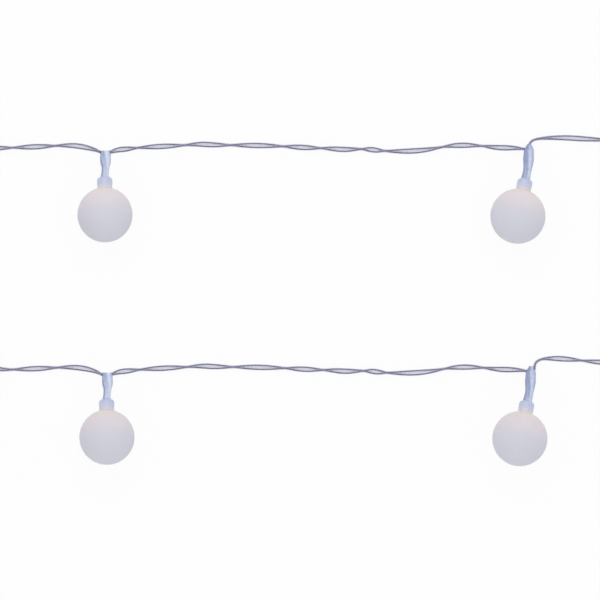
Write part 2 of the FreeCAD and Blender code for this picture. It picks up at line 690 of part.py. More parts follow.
def tilt_bracket():
    """Foot with two ears for the pivot, a socket for the stake and two wall screw holes."""
    made = body("tilt_bracket")
    block(made, "Additive", "foot", ("foot_wall", "foot_width", "foot_height"),
          (f"{FACE_X} - foot_wall / 2", "0", "hinge_height - foot_height / 2"))

    def foot_corner(edge):
        box = edge.BoundBox
        return box.YLength < 1e-6 and box.ZLength < 1e-6
    fillet(made, "foot_corners", "foot_wall", foot_corner)
    for sign, start in (("", EAR_START), ("-", f"(-{EAR_END})")):
        middle = f"{start} + ear_width / 2"
        block(made, "Additive", f"arm{sign}",
              ("foot_reach - foot_wall / 2", "ear_width", "2 * knuckle_radius"),
              (f"{AXIS_X} + foot_reach / 2 - foot_wall / 4", middle, "hinge_height - knuckle_radius"))
        cylinder(made, "Additive", f"ear{sign}", "knuckle_radius", "ear_width",
                 (AXIS_X, start, "hinge_height"), "y")
    hub_start = f"{AXIS_X} + knuckle_radius + hub_gap"
    cylinder(made, "Additive", "hub", "hub_radius",
             "foot_reach - knuckle_radius - hub_gap - foot_wall / 2", (hub_start, "0", "hinge_height"), "x")
    bore = "peg_length - stake_seat + peg_end_gap"
    cylinder(made, "Subtractive", "peg_bore", "peg_radius + push_fit", bore,
             (f"{FACE_X} - ({bore})", "0", "hinge_height"), "x")
    cylinder(made, "Subtractive", "pivot_bore", "bolt_radius + push_fit", f"2 * {EAR_END}",
             (AXIS_X, f"-{EAR_END}", "hinge_height"), "y")
    for sign in ("", "-"):
        cylinder(made, "Subtractive", f"wall_screw_hole{sign}", "foot_hole_radius", "2 * foot_wall",
                 (f"{FACE_X} - 1.5 * foot_wall", f"{sign}foot_hole_spacing / 2", "hinge_height"), "x")
    return made


def pivot_bolt():
    """Slotted round head on one ear, thread through to the thumb nut."""
    made = body("pivot_bolt")
    cylinder(made, "Additive", "head", "bolt_head_radius", "bolt_head_height",
             (AXIS_X, f"-{EAR_END} - bolt_head_height", "hinge_height"), "y")
    cylinder(made, "Additive", "shank", "bolt_radius", f"{EAR_END} + {NUT_START} + nut_height + bolt_slot",
             (AXIS_X, f"-{EAR_END}", "hinge_height"), "y")
    block(made, "Subtractive", "slot", ("2 * bolt_head_radius", "2 * bolt_slot", "bolt_slot"),
          (AXIS_X, f"-{EAR_END} - bolt_head_height", "hinge_height - bolt_slot / 2"))
    return made


def pivot_washer():
    made = body("pivot_washer")
    cylinder(made, "Additive", "ring", "washer_radius", "washer_height",
             (AXIS_X, EAR_END, "hinge_height"), "y")
    cylinder(made, "Subtractive", "hole", "bolt_radius + push_fit", "3 * washer_height",
             (AXIS_X, f"{EAR_END} - washer_height", "hinge_height"), "y")
    return made


def thumb_nut():
    """Round nut with finger flutes cut evenly round its rim."""
    made = body("thumb_nut")
    cylinder(made, "Additive", "knob", "nut_radius", "nut_height", (AXIS_X, NUT_START, "hinge_height"), "y")
    cylinder(made, "Subtractive", "thread", "bolt_radius + running_fit", "2 * nut_height",
             (AXIS_X, f"{NUT_START} - nut_height / 2", "hinge_height"), "y")
    for n in range(NUT_FLUTES):
        angle = math.radians(360 * n / NUT_FLUTES)
        reach = "(nut_radius + nut_grip_radius / 2)"
        cylinder(made, "Subtractive", f"flute_{n}", "nut_grip_radius", "2 * nut_height",
                 (f"{AXIS_X} + {math.cos(angle):.6f} * {reach}", f"{NUT_START} - nut_height / 2",
                  f"hinge_height + {math.sin(angle):.6f} * {reach}"), "y")
    return made


def ground_stake():
    """Peg and collar on two crossed fins that narrow to a point."""
    made = body("ground_stake")
    seat = f"({FACE_X} + stake_seat)"
    start = f"({seat} + collar_height)"
    cylinder(made, "Additive", "peg", "peg_radius", "peg_length",
             (f"{seat} - peg_length", "0", "hinge_height"), "x")
    cylinder(made, "Additive", "collar", "collar_radius", "collar_height", (seat, "0", "hinge_height"), "x")
    upper = [(f"{start} - collar_height / 2", "blade_half"), (f"{start} + blade_shoulder", "blade_shoulder_half"),
             (f"{start} + blade_length", "blade_tip_half")]
    lower = [(across, f"-{up}") for across, up in reversed(upper)]
    stands = {
        "flat": (Rotation(), ("0", "0", "hinge_height - blade_wall / 2")),
        "upright": (Rotation(Vector(1, 0, 0), 90), ("0", "blade_wall / 2", "hinge_height")),
    }
    for name, (turn, at) in stands.items():
        sketch = outline(made, f"{name}_outline", "XY_Plane", upper + lower)
        sketch.AttachmentOffset = Placement(Vector(), turn)
        for axis, text in zip("xyz", at):
            sketch.setExpression("AttachmentOffset.Base." + axis, rule(text))
        fin = made.newObject("PartDesign::Pad", f"{name}_fin")
        fin.Profile = sketch
        fin.setExpression("Length", rule("blade_wall"))
    return made


keep(rear_cover(), "rear_cover")
keep(gasket(), "gasket")
keep(front_bezel(), "front_bezel")
keep(flat_plate("solar_cells", ("panel_length", "panel_width", "cell_height"), (HEAD_X, "0", CELL_Z)),
     "solar_cells")
keep(flat_plate("panel_glass", ("panel_length", "panel_width", "glass_height"),
                (HEAD_X, "0", f"{CELL_Z} + cell_height")), "panel_glass")
cover_screws()
keep(battery_cell(), "battery_cell")
battery_contacts()
keep(flat_plate("circuit_board", ("board_length", "board_width", "board_height"),
                (BOARD_X, "board_y", "head_wall + board_lift")), "circuit_board")
board_parts()
keep(push_button("power_button", "power_y"), "power_button")
keep(push_button("mode_button", "mode_y"), "mode_button")
keep(lead_boot(), "lead_boot")
keep(tilt_bracket(), "tilt_bracket")
keep(pivot_bolt(), "pivot_bolt")
keep(pivot_washer(), "pivot_washer")
keep(thumb_nut(), "thumb_nut")
keep(ground_stake(), "ground_stake")

# Free cables: straight runs joined by tangent arcs, lying on the table. Points are x, y, height.

RUN_SHARE = 0.45


def arc_edge(start, heading, end):
    """Arc from start, leaving along heading, to end."""
    chord = end - start
    along = chord.normalize() if chord.Length else chord
    chord = end - start
    side = heading - along * heading.dot(along)
    if side.Length < 1e-9:
        return Part.LineSegment(start, end).toShape()
    side.normalize()
    half_turn = math.acos(max(-1, min(1, heading.dot(along))))
    middle = (start + end) * 0.5 + side * (chord.Length / 2 * math.tan(half_turn / 2))
    return Part.Arc(start, middle, end).toShape()


def run_wire(points):
    """Wire of runs and arcs through a route, and the smallest arc radius."""
    edges = []
    radii = []
    here = points[0]
    for before, corner, after in zip(points, points[1:], points[2:]):
        arriving = corner - before
        leaving = after - corner
        shorter = min(arriving.Length, leaving.Length)
        arriving.normalize()
        leaving.normalize()
        half_turn = math.acos(max(-1, min(1, arriving.dot(leaving)))) / 2
        cut = RUN_SHARE * shorter
        radii.append(cut / math.tan(half_turn))
        start = corner - arriving * cut
        end = corner + leaving * cut
        edges.append(Part.LineSegment(here, start).toShape())
        edges.append(arc_edge(start, arriving, end))
        here = end
    edges.append(Part.LineSegment(here, points[-1]).toShape())
    return Part.Wire(edges), min(radii)


def swept_tube(label, wire, heading, radius):
    """A round solid of that radius along the wire, its volume checked against its length."""
    start = wire.OrderedVertexes[0].Point
    profile = Part.Wire(Part.makeCircle(radius, start, heading))
    solid = wire.makePipeShell([profile], True, False)
    section = math.pi * radius ** 2
    if abs(solid.Volume / (section * wire.Length) - 1) > 0.01:
        raise ValueError(f"{label}: volume does not match its length")
    made = doc.addObject("Part::Feature", label)
    made.Shape = solid
    return keep(made, label)


def free_cable(label, points):
    route = [Vector(*point) for point in points]
    wire, tightest = run_wire(route)
    heading = (route[1] - route[0]).normalize()
    swept_tube(label, wire, heading, size("cable_radius"))
    print(f"{label}: length {wire.Length:.1f}, tightest radius {tightest:.1f}")


def moved(points, x, y):
    return [(point[0] + x, point[1] + y, point[2]) for point in points]


LEAD_TAIL = [
    (-202, 29, 7), (-198.2, 29, 7), (-193.4, 29.3, 6.2), (-187, 30.4, 3.9), (-180.4, 32.4, 1.8),
    (-172, 35.6, 1.1), (-163, 39.8, 1.1), (-154.4, 45, 1.1), (-147, 49.4, 1.1), (-140.6, 52.4, 1.4),
    (-133.4, 53.3375, 1.9), (-128.2, 53.3375, 1.9),
]
LEAD_RUN = [
    (-123.8, 53.3375, 9.85), (-119.4, 53.3375, 9.85), (-113.4, 53.9, 8.6), (-105.2, 54.9, 5.2),
    (-96.2, 55.5, 2.1), (-85, 56, 1.1), (-66, 56.3, 1.1), (-42, 55.4, 1.1), (-14, 55.1, 1.1),
    (15, 56.2, 1.1), (38, 57.4, 1.1), (56, 57.6, 1.1), (69, 57, 1.1), (79.1, 57.2, 1.1),
    (88, 57.5, 1.1), (96.6, 57.9, 1.1), (102.4, 58.2, 1.1), (106.4, 58.1, 1.2), (109.8, 57.6, 1.4),
    (112.4, 56.9, 1.8), (114.3, 56.2, 2.1), (115.85, 55.3, 2.3),
]
UPPER_ROW = [
    (118.45, 55.3, 2.25), (120.2, 56.1, 2), (122.3, 56.6, 1.6), (125.4, 56.9, 1.2), (130, 57.4, 1.1),
    (137.3, 57.8, 1.1), (145.6, 58.2, 1.1), (151.4, 58.7, 1.1), (158, 58.3, 1.1), (167.9, 58.25, 1.1),
    (179.5, 58, 1.1), (189.7, 57.4, 1.1), (198.4, 57.1, 1.1), (204.9, 56.6, 1.1), (211.5, 57, 1.1),
    (218.6, 56.1, 1.1), (228.2, 56, 1.1), (235.5, 56.7, 1.1), (241.3, 57.9, 1.1), (246.8, 58.3, 1.1),
    (253.7, 58.1, 1.1), (259.4, 57.4, 1.1), (263.8, 57.1, 1.3), (267.2, 56.9, 1.7), (270, 56.5, 2.2),
]
RIGHT_TURN = [
    (272.8, 57.2, 2.1), (272.8, 58.6, 1.7), (273.3, 59.9, 1.35), (274.6, 60.9, 1.15), (276.7, 61.35, 1.1),
    (280.6, 61.4, 1.1), (286.4, 61, 1.1), (292.4, 60.5, 1.1), (298.6, 60.2, 1.1), (304.2, 59.2, 1.1),
    (309, 56.4, 1.1), (312.2, 51.4, 1.1), (313.6, 44, 1.1), (314, 34, 1.1), (313.5, 21, 1.1),
    (313.2, 7, 1.1), (313.7, -4, 1.1), (313, -12, 1.1), (309.8, -17.6, 1.1), (304.6, -20.4, 1.1),
    (298.6, -20.8, 1.1), (292.8, -20.3, 1.1), (287.1, -19.7, 1.1), (281.3, -19.3, 1.1),
    (277.4, -19.35, 1.1), (275.3, -19.8, 1.15), (274, -20.8, 1.35), (273.5, -22.1, 1.7),
    (273.5, -23.5, 2.1),
]
LOWER_LEFT = [
    (116.55, -25.4, 2.3), (115, -24.5, 2.1), (113.1, -23.8, 1.8), (110.5, -23.1, 1.4),
    (107.1, -22.6, 1.2), (103.1, -22.5, 1.1), (97.3, -22.8, 1.1), (88.7, -23.2, 1.1), (80.2, -23.5, 1.1),
    (75.4, -22.5, 1.1), (72.3, -19.6, 1.1), (71, -15, 1.1), (70.7, -6.6, 1.1), (71.1, 4, 1.1),
    (71.3, 14, 1.1), (71.4, 22, 1.1), (67, 26.4, 1.1), (60.8, 26.4, 1.1), (56.4, 22, 1.1),
    (56, 12.4, 1.1), (56.5, 1, 1.1), (56.9, -9, 1.1), (56.6, -16, 1.1), (56.25, -20.8, 1.1),
    (56.25, -23.2, 1.45), (56.25, -25.3, 2.2),
]
HAIRPIN = [
    (-1.15, -0.75, 2.2), (-1.15, 1.4, 1.45), (-1.2, 3.8, 1.1), (-1.7, 8.4, 1.1), (-2.6, 17, 1.1),
    (-3.1, 30, 1.1), (-3.2, 44, 1.1), (-2.9, 55.6, 1.1), (-3, 64.8, 1.1), (-8.3, 70.1, 1.1),
    (-15.7, 70.1, 1.1), (-21, 64.8, 1.1), (-21.1, 55, 1.1), (-20.8, 44, 1.1), (-20.9, 30, 1.1),
    (-21.4, 17, 1.1), (-22.3, 8.4, 1.1), (-22.8, 3.8, 1.1), (-22.85, 1.4, 1.45), (-22.85, -0.75, 2.2),
]
HAIRPIN_Y = -24.55

free_cable("lead_tail", LEAD_TAIL)
free_cable("lead_run", LEAD_RUN)
free_cable("cable_1_2", UPPER_ROW)
free_cable("cable_2_3", RIGHT_TURN)
free_cable("cable_3_4", moved(UPPER_ROW, size("row_shift"), -size("row_gap")))
free_cable("cable_4_5", LOWER_LEFT)
for n in range(5, LAMP_COUNT):
    free_cable(f"cable_{n}_{n + 1}",
               moved(HAIRPIN, size("comb_x") - (n - 5) * size("comb_pitch"), HAIRPIN_Y))

# The rest of the lead, wound in a coil of four layers that spiral in and out in turn

COIL_LAYERS = 4
LAYER_TURNS = 3.5
CLIMB = 0.25
NODES_PER_TURN = 4


def coil_point(turn):
    """Centre line after so many turns, clockwise from the coil's +Y side."""
    layer = min(int(turn / LAYER_TURNS), COIL_LAYERS - 1)
    inside = turn - layer * LAYER_TURNS
    spread = LAYER_TURNS * size("coil_pitch")
    inward = inside if layer % 2 == 0 else LAYER_TURNS - inside
    radius = size("coil_mean_radius") + spread / 2 - size("coil_pitch") * inward
    level = 0
    for reversal in range(1, COIL_LAYERS):
        share = (turn - reversal * LAYER_TURNS + CLIMB) / (2 * CLIMB)
        share = max(0, min(1, share))
        level += share ** 2 * (3 - 2 * share)
    angle = math.pi / 2 - 2 * math.pi * turn
    height = size("tie_wall + tie_gap + cable_radius") + level * size("coil_pitch")
    return Vector(size("coil_x") + radius * math.cos(angle),
                  size("coil_y") + radius * math.sin(angle), height)


def coil_heading(turn, last):
    """Direction of travel; both ends leave straight along +X."""
    if turn in (0, last):
        return Vector(1, 0, 0)
    step = 1e-4
    return (coil_point(turn + step) - coil_point(turn - step)).normalize()


def biarc(start, heading, end, arrival):
    """Two tangent arcs from start to end with the given directions there."""
    across = end - start
    both = heading + arrival
    square = 2 * (1 - heading.dot(arrival))
    linear = 2 * across.dot(both)
    reach = (math.sqrt(linear ** 2 + 4 * square * across.dot(across)) - linear) / (2 * square)
    meeting = (start + heading * reach + end - arrival * reach) * 0.5
    first = arc_edge(start, heading, meeting)
    back = arc_edge(end, arrival * -1, meeting)
    middle = back.valueAt((back.FirstParameter + back.LastParameter) / 2)
    return [first, Part.Arc(meeting, middle, end).toShape()]


def coil():
    last = COIL_LAYERS * LAYER_TURNS
    count = int(last * NODES_PER_TURN)
    turns = [n / NODES_PER_TURN for n in range(count + 1)]
    nodes = [coil_point(turn) for turn in turns]
    ways = [coil_heading(turn, last) for turn in turns]
    tail = Vector(2 * size("cable_radius"), 0, 0)
    edges = [Part.LineSegment(nodes[0] - tail, nodes[0]).toShape()]
    for n in range(count):
        edges += biarc(nodes[n], ways[n], nodes[n + 1], ways[n + 1])
    edges.append(Part.LineSegment(nodes[-1], nodes[-1] + tail).toShape())
    wire = Part.Wire(edges)
    swept_tube("lead_coil", wire, Vector(1, 0, 0), size("cable_radius"))
    samples = 48
    points = [coil_point(n / samples) for n in range(int(last * samples) + 1)]
    gap = min(a.distanceToPoint(b) for n, a in enumerate(points) for b in points[n + samples // 2:])
    print(f"lead_coil: length {wire.Length:.1f}, least gap {gap - 2 * size('cable_radius'):.2f}")


def coil_ties():
    """Two soft loops round the bundle of turns, on opposite sides."""
    spread = f"({LAYER_TURNS} * coil_pitch + 2 * cable_radius + 2 * tie_gap)"
    stack = f"({COIL_LAYERS - 1} * coil_pitch + 2 * cable_radius + 2 * tie_gap)"
    ties = []
    for sign in ("+", "-"):
        made = body(f"tie_{'right' if sign == '+' else 'left'}")
        middle = f"coil_x {sign} coil_mean_radius"
        block(made, "Additive", "outside", (f"{spread} + 2 * tie_wall", "tie_width", f"{stack} + 2 * tie_wall"),
              (middle, "coil_y", "0"))
        block(made, "Subtractive", "inside", (spread, "2 * tie_width", stack), (middle, "coil_y", "tie_wall"))
        ties.append(made)
    return group_of("coil_ties", ties)


coil()
coil_ties()

# Check every object, then write each sub-part to its own file

doc.recompute()
for item in doc.Objects:
    if "Invalid" in item.State or "Error" in item.State:
        raise ValueError(f"{item.Label} failed: {item.State}")
for item in parts:
    if item.Shape.isNull() or not item.Shape.isValid():
        raise ValueError(f"{item.Label} has no valid shape")

os.makedirs("parts", exist_ok=True)
for item in parts:
    item.Shape.exportStep(f"parts/{item.Label}.step")
print(f"{len(parts)} sub-parts")
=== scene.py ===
import math

import bpy
import numpy as np
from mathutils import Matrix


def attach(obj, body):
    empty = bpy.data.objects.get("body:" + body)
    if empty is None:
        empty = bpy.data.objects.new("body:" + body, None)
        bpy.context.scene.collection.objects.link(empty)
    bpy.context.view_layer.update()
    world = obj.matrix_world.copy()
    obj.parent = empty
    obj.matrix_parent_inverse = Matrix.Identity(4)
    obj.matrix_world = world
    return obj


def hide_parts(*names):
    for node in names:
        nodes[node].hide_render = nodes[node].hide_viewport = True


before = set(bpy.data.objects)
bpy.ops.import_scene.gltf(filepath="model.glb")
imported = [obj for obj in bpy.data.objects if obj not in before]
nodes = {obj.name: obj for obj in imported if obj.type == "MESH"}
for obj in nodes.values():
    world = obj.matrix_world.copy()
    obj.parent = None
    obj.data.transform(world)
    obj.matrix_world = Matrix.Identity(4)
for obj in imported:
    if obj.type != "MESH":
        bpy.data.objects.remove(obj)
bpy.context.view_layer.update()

M = 0.001  # one millimetre, in metres

# The picture
# The string lies flat on a white table and is photographed from straight above, lamps pointing down the page.
# The view is 218.3 mm wide where the wires lie.
VIEW_CENTRE, CAMERA_HEIGHT = (0.18824, 0.00194), 3.033
camera_data = bpy.data.cameras.new("camera")
camera_data.sensor_width = 36
camera_data.lens = 500
camera = bpy.data.objects.new("camera", camera_data)
camera.location = (*VIEW_CENTRE, CAMERA_HEIGHT)
bpy.context.scene.collection.objects.link(camera)
bpy.context.scene.camera = camera
bpy.context.scene.view_settings.view_transform = "Standard"


def linear(hex_colour):
    """sRGB hex to linear RGBA: c / 12.92 below 0.04045, else ((c + 0.055) / 1.055) ^ 2.4."""
    c = np.array([int(hex_colour[i : i + 2], 16) for i in (0, 2, 4)]) / 255
    c = np.where(c <= 0.04045, c / 12.92, ((c + 0.055) / 1.055) ** 2.4)
    return (*c.tolist(), 1.0)


def add(tree, kind, settings=(), links=()):
    """Adds one node. settings are its properties and input values, links are the outputs that feed its inputs."""
    node = tree.nodes.new(kind)
    for name, value in dict(settings).items():
        if isinstance(name, int) or name not in node.bl_rna.properties:
            node.inputs[name].default_value = value
        else:
            setattr(node, name, value)
    for name, output in dict(links).items():
        tree.links.new(output, node.inputs[name])
    return node


# The lights
# A pale studio all round, and one large soft lamp above the top of the page, as over a product table.
SOFTBOX_UP, SOFTBOX_BACK = 1.9, 1.5
world = bpy.data.worlds.new("pale studio")
bpy.context.scene.world = world
world.use_nodes = True
world.node_tree.nodes["Background"].inputs["Color"].default_value = linear("F8F8FB")
world.node_tree.nodes["Background"].inputs["Strength"].default_value = 0.93
softbox = bpy.data.lights.new("softbox", "AREA")
softbox.shape = "DISK"
softbox.size = 1.6
softbox.energy = 9
softbox_stand = bpy.data.objects.new("softbox", softbox)
softbox_stand.location = (0.1, SOFTBOX_BACK, SOFTBOX_UP)
softbox_stand.rotation_euler = (-math.atan2(SOFTBOX_BACK, SOFTBOX_UP), 0, 0)
softbox_stand.visible_camera = False
bpy.context.scene.collection.objects.link(softbox_stand)

# The table
# A matt white sheet. The camera and reflections see it nearly white, and it keeps a faint shadow.
TABLE_HALF, EVEN_WHITE = 8, 0.93
sheet_mesh = bpy.data.meshes.new("table")
sheet_corners = [(x * TABLE_HALF, y * TABLE_HALF, 0) for x, y in ((-1, -1), (1, -1), (1, 1), (-1, 1))]
sheet_mesh.from_pydata(sheet_corners, [], [(0, 1, 2, 3)])
table = bpy.data.objects.new("table", sheet_mesh)
bpy.context.scene.collection.objects.link(table)
matt_white = bpy.data.materials.new("matt white table")
matt_white.use_nodes = True
tree = matt_white.node_tree
tree.nodes.clear()
ray = add(tree, "ShaderNodeLightPath").outputs
seen = add(tree, "ShaderNodeMath", {"operation": "ADD"}, {0: ray["Is Camera Ray"], 1: ray["Is Glossy Ray"]})
seen = add(tree, "ShaderNodeMath", {"operation": "ADD"}, {0: seen.outputs[0], 1: ray["Is Transmission Ray"]})
seen = add(tree, "ShaderNodeMath", {"operation": "MULTIPLY", 1: EVEN_WHITE}, {0: seen.outputs[0]})
sheet = add(tree, "ShaderNodeBsdfDiffuse", {"Color": linear("F0F0F0")})
glow = add(tree, "ShaderNodeEmission", {"Strength": 1.0})
both = add(tree, "ShaderNodeMixShader", {}, {0: seen.outputs[0], 1: sheet.outputs[0], 2: glow.outputs[0]})
add(tree, "ShaderNodeOutputMaterial", {}, {"Surface": both.outputs[0]})
sheet_mesh.materials.append(matt_white)

# The balls
# Ten hollow balls of frosted opal polypropylene, 20 mm across with 0.9 mm walls, each moulded in one piece.
# A neck inside grips the lamp holder. The lamp's warm yellow dome shows through the wall next to the neck.
BALL_R, WALL, HOLE_R, NECK_R, NECK_END, BALL_SIDES = 10, 0.9, 2.85, 3.6, 5.0, 96
STRAIGHT_TILT, BENT_TILT = 18.98, 17.22
COMB_X, COMB_Y, COMB_STEP = 55.1, -47.85, 24
# Each lamp's ball centre x and y, the swing of its stem clockwise, the stem's tilt down to the table, bent or not.
# Four are in the picture, and six lie beside them like the teeth of a comb.
LAMPS = [
    (117.5, 32.85, -0.9, STRAIGHT_TILT, False),
    (267.3, 32.35, 12, BENT_TILT, True),
    (268.0, -48.35, 12, BENT_TILT, True),
    (118.2, -47.85, -0.9, STRAIGHT_TILT, False),
] + [(COMB_X - COMB_STEP * k, COMB_Y, 0, STRAIGHT_TILT, False) for k in range(6)]


def placed(points, lamp):
    """From a lamp's own frame, ball centre at 0 and stem up z, to its place on the table: turn by
    -(90 + tilt) about x, then by -swing about z, then move to the ball's centre. Millimetres to metres."""
    x, y, swing, tilt = lamp[:4]
    a, b = math.radians(-90 - tilt), math.radians(-swing)
    about_x = np.array([[1, 0, 0], [0, math.cos(a), -math.sin(a)], [0, math.sin(a), math.cos(a)]])
    about_z = np.array([[math.cos(b), -math.sin(b), 0], [math.sin(b), math.cos(b), 0], [0, 0, 1]])
    return (np.asarray(points) @ (about_z @ about_x).T + (x, y, BALL_R)) * M


def grid_faces(rows, columns, start=0, loop=False):
    """Quads between the rows of a grid of rings. loop joins the last ring to the first."""
    ring = np.arange(rows * columns).reshape(rows, columns)
    low, high = (ring, np.roll(ring, -1, 0)) if loop else (ring[:-1], ring[1:])
    quads = np.stack([low, np.roll(low, -1, 1), np.roll(high, -1, 1), high], -1)
    return (quads.reshape(-1, 4) + start).tolist()


def new_piece(name, points, faces, materials, of_face=None, marks=None):
    """A smooth-shaded mesh object at the origin. marks is a value for each point, kept as the
    attribute "mark" for its material."""
    mesh = bpy.data.meshes.new(name)
    mesh.from_pydata(np.asarray(points).tolist(), [], faces)
    for material in materials:
        mesh.materials.append(material)
    mesh.polygons.foreach_set("use_smooth", [True] * len(mesh.polygons))
    if of_face is not None:
        mesh.polygons.foreach_set("material_index", of_face)
    if marks is not None:
        mesh.attributes.new("mark", "FLOAT", "POINT").data.foreach_set("value", np.ravel(marks))
    mesh.update()
    piece = bpy.data.objects.new(name, mesh)
    bpy.context.scene.collection.objects.link(piece)
    return piece


def revolved(profile, sides):
    """Rings of a (radius, height) profile turned about z: (r cos a, r sin a, z)."""
    a = np.arange(sides) * 2 * np.pi / sides
    r, z = np.asarray(profile, float).T
    return np.stack([r[:, None] * np.cos(a), r[:, None] * np.sin(a), np.repeat(z[:, None], sides, 1)], -1)


def arc(radius, start, end, count, centre=(0, 0)):
    """Points (r, z) of an arc round centre, from one angle to another, in degrees above the level."""
    a = np.radians(np.linspace(start, end, count))
    return np.c_[centre[0] + radius * np.cos(a), centre[1] + radius * np.sin(a)]


def pole_capped(rings):
    """Points and faces of stacked rings whose first and last ring shrink to one point, the two poles. The poles
    come after the rings' own points."""
    body = rings[1:-1]
    rows, columns = body.shape[:2]
    near = np.arange(columns)
    top = near + (rows - 1) * columns
    faces = grid_faces(rows, columns)
    faces += np.c_[np.roll(near, -1), near, np.full(columns, rows * columns)].tolist()
    faces += np.c_[top, np.roll(top, -1), np.full(columns, rows * columns + 1)].tolist()
    return np.r_[body.reshape(-1, 3), rings[:1, 0], rings[-1:, 0]], faces


def ball_profile():
    """Outside from the gate mark up to the neck, down the neck's bore, up its outside and round the inside."""
    edge = math.degrees(math.acos((HOLE_R + 0.25) / BALL_R))
    gate = [(0, -BALL_R + 0.18), (0.55, -BALL_R + 0.16), (0.8, -BALL_R + 0.05)]
    lip = [(2.93, 9.49), (2.86, 9.4), (HOLE_R, 9.28)]
    neck = [(HOLE_R, 7.5), (HOLE_R, NECK_END), (NECK_R, NECK_END), (NECK_R, 7.0)]
    inner = BALL_R - WALL
    top = math.degrees(math.acos(NECK_R / inner))
    return np.r_[gate, arc(BALL_R, -84.2, edge, 72), lip, neck, arc(inner, top, -90, 30)]


opal = bpy.data.materials.new("frosted opal polypropylene")
# Moulded milky and etched matt: no gloss, a grain of about 0.2 mm, which is drawn 0.45 mm so that it shows, and
# soft clouds where the wall is thicker. It is warm next to the neck, where the lamp's yellow dome shows through, and
# cool grey-lavender below. The ramp also holds painted light: it is lighter towards the neck, the side facing the
# softbox, and a little lighter again at the far end, which evens out the shade there.
opal.use_nodes = True
tree = opal.node_tree
tree.nodes.clear()
where = add(tree, "ShaderNodeTexCoord").outputs["Object"]
height = add(tree, "ShaderNodeAttribute", {"attribute_name": "mark"}).outputs["Fac"]
clouds = add(tree, "ShaderNodeTexNoise", {"Scale": 140.0, "Detail": 3.0, "Roughness": 0.5}, {"Vector": where})
drift = add(tree, "ShaderNodeMath", {"operation": "MULTIPLY_ADD", 1: 0.12, 2: -0.06}, {0: clouds.outputs["Fac"]})
shifted = add(tree, "ShaderNodeMath", {"operation": "ADD"}, {0: height, 1: drift.outputs[0]})
tint = add(tree, "ShaderNodeValToRGB", {}, {"Fac": shifted.outputs[0]})
# Painted light: these stops lighten the ball towards the neck and at its far end, besides the neck's warm tint.
stops = [
    (0.0, "D7D7DF"), (0.2, "D3D3DC"), (0.42, "D3D2DB"), (0.62, "DCD5DA"), (0.84, "E3D9D8"), (1.0, "E7DBCE"),
]
while len(tint.color_ramp.elements) < len(stops):
    tint.color_ramp.elements.new(0.5)
for stop, (place, colour) in zip(tint.color_ramp.elements, stops):
    stop.position = place
    stop.color = linear(colour)
grain = add(tree, "ShaderNodeTexNoise", {"Scale": 2200.0, "Detail": 2.0, "Roughness": 0.6}, {"Vector": where})
frosting = add(tree, "ShaderNodeBump", {"Strength": 0.35, "Distance": 0.00006}, {"Height": grain.outputs["Fac"]})
skin = add(
    tree, "ShaderNodeBsdfPrincipled",
    {"Roughness": 0.62, "IOR": 1.49, "Subsurface Weight": 0.3, "Subsurface Radius": (1.0, 0.95, 0.9),
     "Subsurface Scale": 0.0012},
    {"Base Color": tint.outputs["Color"], "Normal": frosting.outputs["Normal"]},
)
add(tree, "ShaderNodeOutputMaterial", {}, {"Surface": skin.outputs[0]})

shell_points, shell_faces = pole_capped(revolved(ball_profile(), BALL_SIDES))
for number, lamp in enumerate(LAMPS, 1):
    ball = new_piece(f"ball_{number}", placed(shell_points, lamp), shell_faces, [opal],
                     marks=(shell_points[:, 2] + BALL_R) / (2 * BALL_R))
    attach(ball, "string_and_panel")
    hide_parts(f"globe_{number}")

# The lamp holders
# Milky polyethylene collars, 5.6 mm across, one at each ball. The lamp sits in one end and the shrink
# sleeve is pushed into the other, which has rounded shoulders.
HOLDER_R, SHOULDER, SOCKET_R, LAMP_R, HOLDER_FOOT, HOLDER_TOP = 2.8, 1.1, 1.74, 1.95, 5.2, 14.2
holder_profile = np.r_[
    [(LAMP_R, 5.35), (2.2, HOLDER_FOOT), (2.6, HOLDER_FOOT), (HOLDER_R, 5.45), (HOLDER_R, 9.2)],
    [(2.76, 10.0), (2.74, 10.8), (2.77, 11.8), (HOLDER_R, 12.6)],
    arc(SHOULDER, 0, 88, 12, (HOLDER_R - SHOULDER, HOLDER_TOP - SHOULDER)),
    [(SOCKET_R, 14.05), (SOCKET_R, 12.5), (SOCKET_R, 9.4), (LAMP_R, 9.2), (LAMP_R, 7.5)],
]
holder_profile[:, 0] = np.clip(holder_profile[:, 0], SOCKET_R, HOLDER_R)
milky = bpy.data.materials.new("milky polyethylene")
# Softly translucent and waxy, pale blue-grey, and warmer at the foot, where the lamp's yellow dome glows through.
# Drag lines from the mould are about 0.6 mm apart.
milky.use_nodes = True
tree = milky.node_tree
tree.nodes.clear()
where = add(tree, "ShaderNodeTexCoord").outputs["Object"]
height = add(tree, "ShaderNodeAttribute", {"attribute_name": "mark"}).outputs["Fac"]
clouds = add(tree, "ShaderNodeTexNoise", {"Scale": 420.0, "Detail": 3.0}, {"Vector": where})
drift = add(tree, "ShaderNodeMath", {"operation": "MULTIPLY_ADD", 1: 0.3, 2: -0.15}, {0: clouds.outputs["Fac"]})
shifted = add(tree, "ShaderNodeMath", {"operation": "ADD"}, {0: height, 1: drift.outputs[0]})
tint = add(tree, "ShaderNodeValToRGB", {}, {"Fac": shifted.outputs[0]})
stops = [(0.52, "DDD7DB"), (0.66, "CBCEE0"), (0.85, "C1C8DF"), (1.0, "BBC3DB")]
while len(tint.color_ramp.elements) < len(stops):
    tint.color_ramp.elements.new(0.5)
for stop, (place, colour) in zip(tint.color_ramp.elements, stops):
    stop.position = place
    stop.color = linear(colour)
lines = add(tree, "ShaderNodeTexNoise", {"Scale": 1600.0, "Detail": 1.0}, {"Vector": where})
drag = add(tree, "ShaderNodeBump", {"Strength": 0.25, "Distance": 0.00005}, {"Height": lines.outputs["Fac"]})
